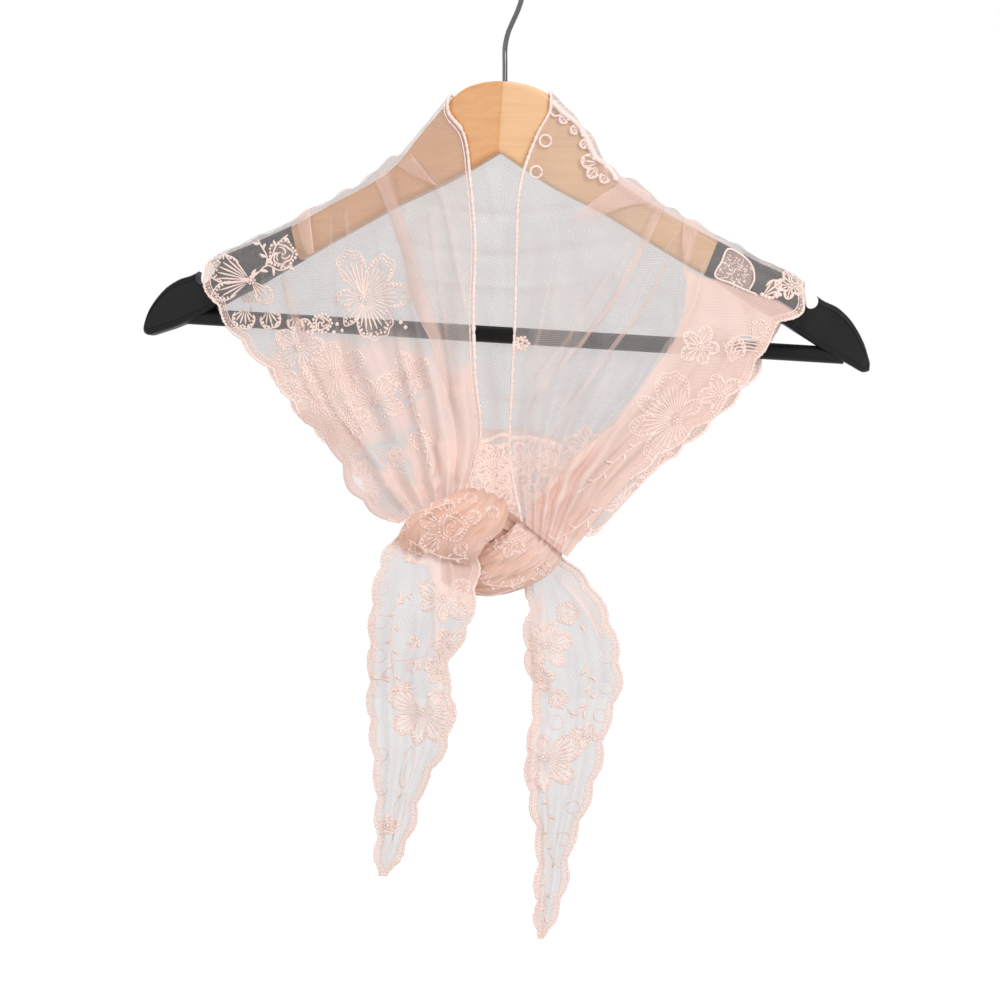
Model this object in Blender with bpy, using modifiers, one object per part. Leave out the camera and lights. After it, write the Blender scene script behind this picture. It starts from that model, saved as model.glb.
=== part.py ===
"""Lace shawl tied at the front over a contoured clothes hanger. Metres, +Z up, +Y to the shawl's back.

The origin is the hook's inner top, where a rail carries the hanger.
"""

import math
from collections import namedtuple

import bmesh
import bpy
import numpy as np
from mathutils import Matrix, Vector

# Cloth
WALL = 0.0012
COVER = 0.0030  # height of the cloth's middle over the wood's top edge
FRONT_COVER = 0.0021  # the same over a face of the wood
STEP_RUN = 0.016  # along the arm, where the cloth rises from the wood to the thicker cap
SEAM = 0.00035  # half of the space where two stretches of cloth meet

# Hanger
HUB_DROP = 0.069  # from the rail down to the top of the wood
ROLL = math.radians(3.9)
YAW = math.radians(-11)
RAKE = math.radians(12)  # each arm sweeps back from the middle
TIP_RAKE = math.radians(3)
RAKE_ENDS = 0.190  # along the arm
RIDGE_FLAT = 0.0015
HALF_GAP = 0.00015
YOKE_THICK = 0.012
CAP_THICK = 0.0145
WOOD_END = 0.137  # along the arm, at its top edge
JOINT_LEAN = 0.0070  # the joint of wood and moulded end lies this much further in at the bottom edge
ARM_BEVEL = 0.0030
ARM_LEVELS = 4  # rows of faces between an arm's edges
BAR_RADIUS = 0.0052
BAR_HEIGHT = -0.1541  # under the top of the wood
BAR_DEPTH = 0.0405
BAR_HALF = 0.2150
SOCKET_SPARE = 0.0003
NOTCH_RADIUS = 0.0046
NOTCH_ALONG = 0.1975
NOTCH_DROP = 0.0056  # its round bottom's middle under the cap's top edge
NOTCH_LEAN = math.radians(-34)  # the strap notch opens square to the cap's top edge
NOTCH_OPENS = 0.012
WIRE_RADIUS = 0.0016
HOOK_INNER = 0.019
HOOK_SWIVEL = math.radians(60)
HOOK_MOUTH = math.radians(165)
HOOK_STEPS = 12
SHANK = (  # out and up, from the wood to the start of the bend
    (0, -HUB_DROP + 2 * HALF_GAP),
    (0, -0.058),
    (0.0002, -0.048),
    (0.0034, -0.0404),
    (0.0100, -0.0330),
    (0.0168, -0.0260),
)

Station = namedtuple("Station", "along top bottom")
YOKE_STATIONS = (
    Station(0.0000, 0.0000, -0.0443),
    Station(RIDGE_FLAT, -0.0001, -0.0450),
    Station(0.0150, -0.0018, -0.0528),
    Station(0.0280, -0.0072, -0.0602),
    Station(0.0360, -0.0150, -0.0645),
    Station(0.0450, -0.0250, -0.0688),
    Station(0.0550, -0.0375, -0.0734),
    Station(0.0650, -0.0505, -0.0782),
    Station(0.0760, -0.0602, -0.0840),
    Station(0.0900, -0.0685, -0.0920),
    Station(0.1100, -0.0790, -0.1030),
    Station(WOOD_END, -0.0917, -0.1165),
)
CAP_STATIONS = (
    Station(WOOD_END + 2 * HALF_GAP, -0.0918, -0.1166),
    Station(0.1650, -0.1025, -0.1305),
    Station(0.1810, -0.1086, -0.1385),
    Station(0.1944, -0.1158, -0.1462),
    Station(0.2040, -0.1222, -0.1515),
    Station(0.2150, -0.1272, -0.1570),
    Station(0.2240, -0.1358, -0.1615),
    Station(0.2310, -0.1470, -0.1648),
    Station(0.2355, -0.1570, -0.1655),
)

# The left arm's end hangs a little lower and the right arm is a little straighter: along the arm, its rise
ARM_RISE = {
    -1: ((0.110, 0), (0.137, -0.0024), (0.165, -0.0045), (0.195, -0.0058), (0.215, -0.0052), (0.2355, -0.0024)),
    1: ((0.030, 0), (0.080, 0.0018), (0.110, 0.0026), (0.137, 0.0028), (0.165, 0.0012), (0.2355, 0.0014)),
}

# Where the shawl lies on each arm, measured along the arm
NECK_ALONG = {-1: 0.0335, 1: 0.0285}
SHOULDER_ALONG = {-1: 0.1945, 1: 0.1920}

# A row goes from a panel's inner edge to its scalloped outer edge. Rows run from the arm to the knot.
Row = namedtuple("Row", "inner_x inner_y inner_z outer_x outer_y outer_z")
LEFT_FRONT_ROWS = (
    Row(-0.026, 0.0020, -0.099, -0.184, 0.062, -0.197),
    Row(-0.021, 0.0000, -0.130, -0.1680, 0.060, -0.221),
    Row(-0.018, -0.0030, -0.168, -0.1450, 0.052, -0.245),
    Row(-0.019, -0.0050, -0.207, -0.1290, 0.042, -0.268),
    Row(-0.018, -0.0060, -0.248, -0.107, 0.030, -0.290),
    Row(-0.015, -0.0060, -0.290, -0.0890, 0.017, -0.324),
    Row(-0.024, -0.0050, -0.320, -0.066, 0.007, -0.340),
)
RIGHT_FRONT_ROWS = (
    Row(0.017, -0.0090, -0.102, 0.180, -0.0085, -0.203),
    Row(0.010, -0.0095, -0.130, 0.164, -0.0080, -0.220),
    Row(0.007, -0.0095, -0.173, 0.152, -0.0065, -0.243),
    Row(0.006, -0.0095, -0.215, 0.126, -0.0060, -0.273),
    Row(0.004, -0.0100, -0.257, 0.0905, -0.0060, -0.301),
    Row(0.003, -0.0105, -0.300, 0.0620, -0.0070, -0.330),
    Row(0.010, -0.0110, -0.339, 0.038, -0.0100, -0.361),
)
# The back's rows go from its left edge over its middle to its right edge.
BackRow = namedtuple("BackRow", "left_x left_z middle_z right_x right_z")
BACK_ROWS = (
    BackRow(-0.184, -0.197, -0.122, 0.180, -0.203),
    BackRow(-0.1680, -0.222, -0.172, 0.165, -0.221),
    BackRow(-0.1450, -0.247, -0.219, 0.154, -0.247),
    BackRow(-0.1285, -0.271, -0.264, 0.1260, -0.277),
    BackRow(-0.1060, -0.293, -0.308, 0.0930, -0.308),
    BackRow(-0.0760, -0.333, -0.350, 0.0600, -0.344),
)
ROW_SAGS = 1.6  # power of the curve that a row of the back follows from its middle to its edges
COLUMNS_CLOSE = 0.6  # how much closer the back's columns are at the neck than on average
BACK_REST = 0.0075  # the back's middle behind the bar's middle line
LEAVES_ARM = 0.004  # over the wood's lower edge
MEETS_BAR = 0.006  # over the bar
SHORTEST_RUN = 0.008  # from the arm to the bar, where they come close
NECK_DIP = 0.022
NECK_CROSSES = 0.48  # of the way from the middle to the neck: further in, the back's edge is off the top
FACE_DROP = 0.017  # a panel's first row lies at least this far under the arm's top
PANEL_SCALLOPS = 8  # along each side edge
HEM_SCALLOPS = 12
SCALLOP_DEPTH = 0.0035
SCALLOP_OUT = 0.8  # shares of that depth, outwards and down along a slanting edge
SCALLOP_DOWN = 0.6
SCALLOPS_FROM = 0.85  # share of a panel's width where its scalloped border starts to swing
HEM_FROM = 0.90
HANGS_FREE = 0.12  # share of the back's length that lies on the arm
TURN_ROWS = 4  # rows of faces over the arm's top edge
TURN_SHARE = 0.05
OVER_ARM = ((0.0, 0.0), (0.62, 0.0006), (0.97, 0.0036), (1.0, 0.0090))  # share of the reach, drop

# Folds run from the arm to the knot: place across the panel, half-width there, height at its fullest.
Fold = namedtuple("Fold", "across width height starts full")
LEFT_FOLDS = (
    Fold(0.10, 0.050, 0.0050, 0.20, 0.75),
    Fold(0.27, 0.055, 0.0078, 0.02, 0.55),
    Fold(0.42, 0.048, 0.0058, 0.06, 0.70),
    Fold(0.60, 0.055, 0.0068, 0.02, 0.60),
    Fold(0.78, 0.048, 0.0052, 0.15, 0.80),
)
RIGHT_FOLDS = (
    Fold(0.13, 0.050, 0.0050, 0.18, 0.75),
    Fold(0.29, 0.045, 0.0055, 0.05, 0.60),
    Fold(0.43, 0.042, 0.0056, 0.03, 0.55),
    Fold(0.57, 0.046, 0.0066, 0.03, 0.65),
    Fold(0.71, 0.046, 0.0070, 0.08, 0.70),
    Fold(0.87, 0.046, 0.0042, 0.35, 0.85),
)
BACK_FOLDS = (
    Fold(0.16, 0.040, 0.0050, 0.10, 0.60),
    Fold(0.30, 0.035, 0.0060, 0.10, 0.70),
    Fold(0.43, 0.030, 0.0045, 0.30, 0.90),
    Fold(0.57, 0.030, 0.0045, 0.30, 0.90),
    Fold(0.70, 0.035, 0.0060, 0.10, 0.70),
    Fold(0.84, 0.040, 0.0050, 0.10, 0.60),
)
FOLD_TO_WIDTH = 0.13  # a fold's height is at most this much of the panel's width at its row

# Cloth folded back along a panel's edge: its fold and its edge across the panel, its top and low end, and
# how far behind the panel it lies.
Patch = namedtuple("Patch", "fold_top fold_low edge top low depth")
BORDER_FOLD = Patch(0.94, 0.70, 0.99, 0.56, 0.97, -0.0030)
TURNED_UNDER = Patch(0.80, 0.55, 0.98, 0.26, 0.95, 0.0034)

# A tail's rows give its two edges and its depth at each edge and in the middle.
TailRow = namedtuple("TailRow", "left_x left_z right_x right_z left_y middle_y right_y")
LEFT_TAIL_ROWS = (
    TailRow(-0.0640, -0.3465, -0.0175, -0.3570, -0.0092, -0.0128, -0.0136),
    TailRow(-0.0735, -0.3610, -0.0180, -0.3710, -0.0092, -0.0134, -0.0150),
    TailRow(-0.0785, -0.3810, -0.0200, -0.3870, -0.0070, -0.0150, -0.0145),
    TailRow(-0.0810, -0.4040, -0.0245, -0.4060, -0.0050, -0.0150, -0.0110),
    TailRow(-0.0815, -0.4300, -0.0370, -0.4290, -0.0030, -0.0120, -0.0070),
    TailRow(-0.0820, -0.4560, -0.0325, -0.4530, -0.0010, -0.0090, -0.0040),
    TailRow(-0.0795, -0.4810, -0.0380, -0.4780, 0.0000, -0.0070, -0.0020),
    TailRow(-0.0775, -0.5060, -0.0515, -0.5030, 0.0010, -0.0040, 0.0000),
    TailRow(-0.0775, -0.5310, -0.0585, -0.5290, 0.0010, -0.0020, 0.0010),
    TailRow(-0.0775, -0.5560, -0.0720, -0.5565, 0.0015, 0.0000, 0.0015),
)
RIGHT_TAIL_ROWS = (
    TailRow(0.0118, -0.3725, 0.0345, -0.3609, 0.0070, 0.0070, 0.0070),
    TailRow(0.0165, -0.3880, 0.0475, -0.3735, 0.0062, 0.0045, 0.0062),
    TailRow(0.0140, -0.4080, 0.0605, -0.3940, 0.0055, 0.0000, 0.0060),
    TailRow(0.0150, -0.4260, 0.0680, -0.4180, 0.0050, -0.0015, 0.0065),
    TailRow(0.0200, -0.4450, 0.0695, -0.4400, 0.0050, -0.0008, 0.0070),
    TailRow(0.0180, -0.4660, 0.0620, -0.4640, 0.0050, 0.0000, 0.0070),
    TailRow(0.0145, -0.4880, 0.0570, -0.4890, 0.0040, 0.0010, 0.0060),
    TailRow(0.0180, -0.5130, 0.0495, -0.5130, 0.0040, 0.0010, 0.0050),
    TailRow(0.0215, -0.5390, 0.0400, -0.5380, 0.0040, 0.0015, 0.0040),
    TailRow(0.0205, -0.5680, 0.0350, -0.5670, 0.0040, 0.0030, 0.0040),
    TailRow(0.0203, -0.5950, 0.0240, -0.5955, 0.0040, 0.0040, 0.0040),
)
LEFT_TAIL_FOLDS = (
    Fold(0.24, 0.070, 0.0045, 0.06, 0.25),
    Fold(0.50, 0.075, -0.0045, 0.06, 0.30),
    Fold(0.76, 0.070, 0.0045, 0.06, 0.25),
)
RIGHT_TAIL_FOLDS = (
    Fold(0.20, 0.070, 0.0040, 0.02, 0.20),
    Fold(0.47, 0.075, -0.0035, 0.02, 0.25),
    Fold(0.74, 0.070, 0.0040, 0.02, 0.25),
)

TAIL_ENDS = 0.05  # share of a tail's length with no scallop at its top and its tip

# A strand of the knot is a rolled bundle: its two edges, depth and thickness at each turn of its way.
Strand = namedtuple("Strand", "upper_x upper_y upper_z lower_x lower_y lower_z thick")
LEFT_STRAND = (
    Strand(-0.0243, -0.0060, -0.3212, -0.0655, 0.0045, -0.3412, 0.009),
    Strand(-0.0190, -0.0010, -0.3245, -0.0470, 0.0040, -0.3510, 0.012),
    Strand(-0.0110, 0.0022, -0.3270, -0.0270, 0.0045, -0.3550, 0.016),
    Strand(0.0010, 0.0035, -0.3320, -0.0090, 0.0045, -0.3570, 0.015),
    Strand(0.0120, 0.0045, -0.3400, 0.0030, 0.0050, -0.3610, 0.013),
    Strand(0.0220, 0.0060, -0.3500, 0.0080, 0.0065, -0.3665, 0.009),
    Strand(0.0330, 0.0070, -0.3605, 0.0115, 0.0070, -0.3720, 0.005),
)
RIGHT_STRAND = (
    Strand(0.0100, -0.0058, -0.3335, 0.0385, -0.0050, -0.3560, 0.004),
    Strand(0.0055, -0.0085, -0.3415, 0.0325, -0.0070, -0.3665, 0.009),
    Strand(0.0000, -0.0100, -0.3470, 0.0240, -0.0085, -0.3735, 0.013),
    Strand(-0.0075, -0.0085, -0.3512, 0.0090, -0.0070, -0.3810, 0.016),
    Strand(-0.0165, -0.0056, -0.3540, -0.0060, -0.0052, -0.3845, 0.014),
    Strand(-0.0270, -0.0005, -0.3585, -0.0210, -0.0005, -0.3840, 0.011),
    Strand(-0.0390, 0.0040, -0.3590, -0.0400, 0.0040, -0.3780, 0.009),
)
OVER_TURN = (
    Strand(-0.0180, 0.0170, -0.3480, -0.0060, 0.0170, -0.3480, 0.005),
    Strand(-0.0190, 0.0155, -0.3270, -0.0050, 0.0160, -0.3280, 0.006),
    Strand(-0.0168, 0.0022, -0.3150, -0.0015, 0.0037, -0.3170, 0.006),
    Strand(-0.0290, -0.0148, -0.3205, -0.0030, -0.0128, -0.3235, 0.008),
    Strand(-0.0520, -0.0186, -0.3320, -0.0060, -0.0175, -0.3390, 0.010),
    Strand(-0.0640, -0.0172, -0.3440, -0.0130, -0.0200, -0.3555, 0.007),
    Strand(-0.0690, -0.0145, -0.3560, -0.0170, -0.0188, -0.3680, 0.003),
)
STRAND_PLEATS = 5
PLEAT_DEPTH = 0.0013
STRAND_SIDES = 40
STRAND_RINGS = 14
STRAND_END = 0.012  # share of the length from a blunt end to its first ring
BLUNTNESS = 7

SHAWL_PINK = (0.87, 0.66, 0.60, 1)
KNOT_PINK = (0.85, 0.55, 0.46, 1)
WOOD = (0.78, 0.52, 0.28, 1)
BLACK = (0.02, 0.02, 0.022, 1)
STEEL = (0.09, 0.09, 0.10, 1)


def clear_scene():
    for obj in list(bpy.data.objects):
        bpy.data.objects.remove(obj, do_unlink=True)


def new_collection(name):
    collection = bpy.data.collections.new(name)
    bpy.context.scene.collection.children.link(collection)
    return collection


def material(name, colour, roughness, metallic=0.0):
    made = bpy.data.materials.new(name)
    made.use_nodes = True
    shader = made.node_tree.nodes["Principled BSDF"]
    shader.inputs["Base Color"].default_value = colour
    shader.inputs["Roughness"].default_value = roughness
    shader.inputs["Metallic"].default_value = metallic
    made.diffuse_color = colour
    return made


def add_object(name, data, collection, finish=None):
    obj = bpy.data.objects.new(name, data)
    collection.objects.link(obj)
    if finish:
        obj.data.materials.append(finish)
    return obj


def smooth_through(points, at):
    """A point on the smooth curve through the points, at a share of its length."""
    points = np.asarray(points, float)
    steps = np.linalg.norm(np.diff(points, axis=0), axis=1)
    places = np.concatenate([[0], np.cumsum(steps)])
    place = min(max(at, 0.0), 1.0) * places[-1]
    k = min(int(np.searchsorted(places, place, side="right")) - 1, len(points) - 2)
    slopes = np.gradient(points, places, axis=0)
    span = places[k + 1] - places[k]
    t = (place - places[k]) / span
    start = (1 + 2 * t) * (1 - t) ** 2 * points[k] + t * (1 - t) ** 2 * span * slopes[k]
    end = t * t * (3 - 2 * t) * points[k + 1] - t * t * (1 - t) * span * slopes[k + 1]
    return start + end


def ease(value):
    value = min(max(value, 0.0), 1.0)
    return value * value * (3 - 2 * value)


# ---- hanger


def arm_plan(along):
    """How far out and how far back the middle of an arm lies, in the hanger's own frame."""
    flat = min(along, RIDGE_FLAT)
    raked = min(max(along - RIDGE_FLAT, 0), RAKE_ENDS - RIDGE_FLAT)
    tip = max(along - RAKE_ENDS, 0)
    out = flat + raked * math.cos(RAKE) + tip * math.cos(TIP_RAKE)
    back = raked * math.sin(RAKE) + tip * math.sin(TIP_RAKE)
    return out, back


def arm_edge(side, along, edge):
    """The height of an arm's top or bottom edge, in the hanger's own frame."""
    stations = YOKE_STATIONS + CAP_STATIONS[1:]
    height = np.interp(along, [s.along for s in stations], [getattr(s, edge) for s in stations])
    places, rises = zip(*ARM_RISE[side])
    return float(height + np.interp(along, places, rises))


def hanger_matrix():
    turn = Matrix.Rotation(YAW, 4, "Z") @ Matrix.Rotation(ROLL, 4, "Y")
    return Matrix.Translation((0, 0, -HUB_DROP)) @ turn


def arm_top(side, along):
    """The top of the arm's middle plane, in the part's frame."""
    out, back = arm_plan(along)
    return hanger_matrix() @ Vector((side * out, back, arm_edge(side, along, "top")))


def arm_object(name, side, stations, starts, thick, parts, finish, parent):
    """A plate between the arm's two edges along the stations, swept back with the arm."""
    places = [starts] + [s.along for s in stations if s.along > starts]
    mesh = bmesh.new()
    bmesh.ops.create_grid(mesh, x_segments=len(places) - 1, y_segments=ARM_LEVELS, size=0.5)
    for vertex in mesh.verts:
        column = round((vertex.co.x + 0.5) * (len(places) - 1))
        share = vertex.co.y + 0.5
        along = places[column]
        if abs(along - WOOD_END) <= 2 * HALF_GAP:
            along -= JOINT_LEAN * (1 - share)
        out, back = arm_plan(along)
        top, bottom = arm_edge(side, along, "top"), arm_edge(side, along, "bottom")
        vertex.co = (side * out, back, bottom + share * (top - bottom))
    if side < 0:
        bmesh.ops.reverse_faces(mesh, faces=mesh.faces)
    data = bpy.data.meshes.new(name)
    mesh.to_mesh(data)
    mesh.free()
    obj = add_object(name, data, parts, finish)
    obj.parent = parent
    wall = obj.modifiers.new("Thickness", "SOLIDIFY")
    wall.thickness = thick
    wall.offset = 0
    edge = obj.modifiers.new("Rounded edges", "BEVEL")
    edge.width = ARM_BEVEL
    edge.segments = 2
    edge.limit_method = "ANGLE"
    edge.angle_limit = math.radians(40)
    return obj


def cylinder(name, radius, length, sides, collection, finish=None):
    """A cylinder along X, centred."""
    mesh = bmesh.new()
    bmesh.ops.create_cone(
        mesh, cap_ends=True, segments=sides, radius1=radius, radius2=radius, depth=length,
        matrix=Matrix.Rotation(math.radians(90), 4, "Y"),
    )
    data = bpy.data.meshes.new(name)
    mesh.to_mesh(data)
    mesh.free()
    return add_object(name, data, collection, finish)


def cut(obj, cutter):
    cutter.hide_render = True
    cutter.display_type = "WIRE"
    boolean = obj.modifiers.new("Cut " + cutter.name, "BOOLEAN")
    boolean.operation = "DIFFERENCE"
    boolean.object = cutter


def build_hanger(parts, cutters):
    frame = bpy.data.objects.new("hanger_frame", None)
    parts.objects.link(frame)
    frame.matrix_world = hanger_matrix()
    wood = material("hanger_wood", WOOD, 0.45)
    plastic = material("hanger_plastic", BLACK, 0.5)
    socket = cylinder("bar_socket", BAR_RADIUS + SOCKET_SPARE, 2 * (BAR_HALF + SOCKET_SPARE), 20, cutters)
    socket.parent = frame
    socket.location = (0, BAR_DEPTH, BAR_HEIGHT)
    for side, word in ((-1, "left"), (1, "right")):
        arm_object("yoke_" + word, side, YOKE_STATIONS, HALF_GAP, YOKE_THICK, parts, wood, frame)
        starts = CAP_STATIONS[0].along
        cap = arm_object("shoulder_cap_" + word, side, CAP_STATIONS, starts, CAP_THICK, parts, plastic, frame)
        cut(cap, socket)
        out, back = arm_plan(NOTCH_ALONG)
        notch = cylinder("strap_notch_" + word, NOTCH_RADIUS, 3 * CAP_THICK, 16, cutters)
        for vertex in notch.data.vertices:
            if vertex.co.z > NOTCH_RADIUS / 4:
                vertex.co.z += NOTCH_OPENS
        notch.parent = frame
        notch.location = (side * out, back, arm_edge(side, NOTCH_ALONG, "top") - NOTCH_DROP)
        notch.rotation_euler = (side * NOTCH_LEAN, 0, math.radians(90))
        cut(cap, notch)
    bar = cylinder("trouser_bar", BAR_RADIUS, 2 * BAR_HALF, 20, parts, material("bar_plastic", BLACK, 0.45))
    bar.parent = frame
    bar.location = (0, BAR_DEPTH, BAR_HEIGHT)
    build_hook(parts)


def build_hook(parts):
    """A wire that rises from the wood, leans out and turns over its rail, in one swivelled plane."""
    middle = HOOK_INNER + WIRE_RADIUS
    way = list(SHANK)
    for k in range(HOOK_STEPS + 1):
        angle = HOOK_MOUTH * k / HOOK_STEPS
        way.append((middle * math.cos(angle), -HOOK_INNER + middle * math.sin(angle)))
    curve = bpy.data.curves.new("hook_wire", "CURVE")
    curve.dimensions = "3D"
    curve.resolution_u = 2
    curve.bevel_depth = WIRE_RADIUS
    curve.bevel_resolution = 2
    curve.use_fill_caps = True
    line = curve.splines.new("BEZIER")
    line.bezier_points.add(len(way) - 1)
    for point, (out, up) in zip(line.bezier_points, way):
        point.co = (out * math.cos(HOOK_SWIVEL), -out * math.sin(HOOK_SWIVEL), up)
        point.handle_left_type = "AUTO"
        point.handle_right_type = "AUTO"
    add_object("hook_wire", curve, parts, material("hook_steel", STEEL, 0.3, 1.0))


# ---- cloth


def folds_height(folds, across, down, width):
    """How far the folds lift the cloth at a place of a panel whose row is this wide."""
    height = 0.0
    for fold in folds:
        grown = ease((down - fold.starts) / (fold.full - fold.starts))
        peak = math.copysign(min(abs(fold.height), FOLD_TO_WIDTH * width), fold.height)
        height += peak * grown * math.exp(-(((across - fold.across) / fold.width) ** 2))
    return height


def scallops(share, count):
    return SCALLOP_DEPTH * abs(math.sin(math.pi * count * share))


def swing(side, at_border, down):
    """How far the scallops take a panel's side edge out, below the turn over the arm."""
    below = max(down - TURN_SHARE, 0) / (1 - TURN_SHARE)
    out = scallops(below, PANEL_SCALLOPS) * at_border * ease(below / TURN_SHARE)
    return np.array([side * out * SCALLOP_OUT, 0, -out * SCALLOP_DOWN])


def arm_reach(along):
    """From an arm's middle plane to the middle of the cloth on its face."""
    thick = np.interp(along, (WOOD_END - STEP_RUN, WOOD_END), (YOKE_THICK, CAP_THICK))
    return thick / 2 + FRONT_COVER


def over_the_arm(side, along, facing, off_top=0.0, dip=0.0):
    """Places from the arm's top over its edge, towards the front for -1 or the back for +1.

    Off the top, they start at the arm's face, and the dip takes them down that face.
    """
    rake = RAKE if along < RAKE_ENDS else TIP_RAKE
    normal = hanger_matrix().to_3x3() @ Vector((-facing * side * math.sin(rake), facing * math.cos(rake), 0))
    top = arm_top(side, along)
    for lean, drop in OVER_ARM:
        lean += off_top * (1 - lean)
        place = top + normal * max(lean * arm_reach(along), SEAM)
        place.z += COVER - drop - dip
        yield np.array(place)


def neck_turn(side, along):
    """Where the back's edge lies at the neck: it crosses the arm's top, goes off it and dips behind it."""
    neck = NECK_ALONG[side]
    crossing = NECK_CROSSES * neck
    off_top = min(max((neck - along) / (neck - crossing), 0), 1)
    inner = max(crossing - along, 0) / crossing
    place = max(along, neck * (1 - inner))
    dip = arm_top(side, place).z - arm_top(side, max(place, neck)).z + NECK_DIP * ease(inner)
    return place, off_top, dip


def under_the_top(place, way, first):
    """Keep a panel's first row on the arm's face, clear of the cloth that turns over the arm."""
    if first:
        place[2] = min(place[2], way[0][2] - FACE_DROP)
    return place


def front_panel_point(side, rows, folds):
    """The function that gives the middle of a front panel's wall at a share across and down."""

    def point(across, down):
        along = NECK_ALONG[side] + across * (SHOULDER_ALONG[side] - NECK_ALONG[side])
        way = list(over_the_arm(side, along, -1))
        for row in rows:
            inner = np.array([row.inner_x, row.inner_y, row.inner_z])
            outer = np.array([row.outer_x, row.outer_y, row.outer_z])
            way.append(under_the_top(inner + across * (outer - inner), way, row is rows[0]))
        place = smooth_through(way, down)
        first, last = rows[0], rows[-1]
        top_width = abs(first.outer_x - first.inner_x)
        low_width = abs(last.outer_x - last.inner_x)
        width = top_width + down * (low_width - top_width)
        place[1] -= folds_height(folds, across, down, width)
        at_border = ease((across - SCALLOPS_FROM) / (1 - SCALLOPS_FROM))
        return place + swing(side, at_border, down)

    return point


def back_depth(x, z):
    """How far back the back hangs: on the arms, then out over the bar."""
    side = -1 if x < 0 else 1
    angle = RAKE + side * YAW
    along = abs(x) / math.cos(angle)
    on_arm = arm_top(side, along).y + arm_reach(along) / math.cos(angle)
    bar = hanger_matrix() @ Vector((x, BAR_DEPTH, BAR_HEIGHT))
    low = hanger_matrix() @ Vector((x, 0, arm_edge(side, along, "bottom")))
    leaves = low.z + LEAVES_ARM
    meets = bar.z + BAR_RADIUS + MEETS_BAR
    share = ease((leaves - z) / max(leaves - meets, SHORTEST_RUN))
    return on_arm + share * (bar.y + BACK_REST - on_arm)


def back_panel_point(rows, folds):
    def point(across, down):
        position = 2 * across - 1
        position *= COLUMNS_CLOSE + (1 - COLUMNS_CLOSE) * abs(position)
        side = -1 if position < 0 else 1
        along = abs(position) * SHOULDER_ALONG[side]
        place, off_top, dip = neck_turn(side, along)
        way = list(over_the_arm(side, place, 1, off_top, dip))
        for row in rows:
            edge_x = row.left_x if side < 0 else row.right_x
            edge_z = row.left_z if side < 0 else row.right_z
            x = abs(position) * edge_x
            z = row.middle_z + (edge_z - row.middle_z) * abs(position) ** ROW_SAGS
            z = under_the_top(np.array([x, 0, z]), way, row is rows[0])[2]
            way.append(np.array([x, back_depth(x, z), z]))
        place = smooth_through(way, down)
        if down > HANGS_FREE:
            place[1] = max(place[1], back_depth(place[0], place[2]))
        top_width = rows[0].right_x - rows[0].left_x
        low_width = rows[-1].right_x - rows[-1].left_x
        place[1] += folds_height(folds, across, down, top_width + down * (low_width - top_width))
        place += swing(side, ease((abs(position) - SCALLOPS_FROM) / (1 - SCALLOPS_FROM)), down)
        place[2] -= scallops(across, HEM_SCALLOPS) * ease((down - HEM_FROM) / (1 - HEM_FROM))
        return place

    return point


def tail_point(rows, folds, count):
    def point(across, down):
        way = []
        for row in rows:
            middle = 1 - (2 * across - 1) ** 2
            straight = row.left_y + across * (row.right_y - row.left_y)
            bow = row.middle_y - (row.left_y + row.right_y) / 2
            way.append(
                np.array(
                    [
                        row.left_x + across * (row.right_x - row.left_x),
                        straight + middle * bow,
                        row.left_z + across * (row.right_z - row.left_z),
                    ]
                )
            )
        place = smooth_through(way, down)
        k = min(int(down * (len(rows) - 1)), len(rows) - 1)
        place[1] -= folds_height(folds, across, down, rows[k].right_x - rows[k].left_x)
        edge = (2 * across - 1) ** 3
        fade = ease(down / TAIL_ENDS) * ease((1.0 - down) / TAIL_ENDS)
        place[0] += edge * SCALLOP_OUT * scallops(down, count) * fade
        return place

    return point


def sheet(name, point, columns, rows, parts, finish, turn_rows=0, turn_share=0.0):
    """A cloth wall on the surface that the function gives, with closer rows where it turns over the arm."""
    mesh = bmesh.new()
    bmesh.ops.create_grid(mesh, x_segments=columns, y_segments=rows, size=0.5)
    for vertex in mesh.verts:
        across = vertex.co.x + 0.5
        step = round((vertex.co.y + 0.5) * rows)
        if step < turn_rows:
            down = turn_share * step / turn_rows
        else:
            down = turn_share + (1 - turn_share) * (step - turn_rows) / (rows - turn_rows)
        vertex.co = point(across, down)
    mesh.normal_update()
    data = bpy.data.meshes.new(name)
    mesh.to_mesh(data)
    mesh.free()
    data.shade_smooth()
    obj = add_object(name, data, parts, finish)
    wall = obj.modifiers.new("Wall", "SOLIDIFY")
    wall.thickness = WALL
    wall.offset = 0
    return obj


def patch(point, part):
    """Part of a panel's surface, moved off it: cloth that is folded back along the panel's edge."""

    def moved(across, down):
        folded = part.fold_top + down * (part.fold_low - part.fold_top)
        place = point(folded + across * (part.edge - folded), part.top + down * (part.low - part.top))
        return place + np.array([0, part.depth, 0])

    return moved


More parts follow.
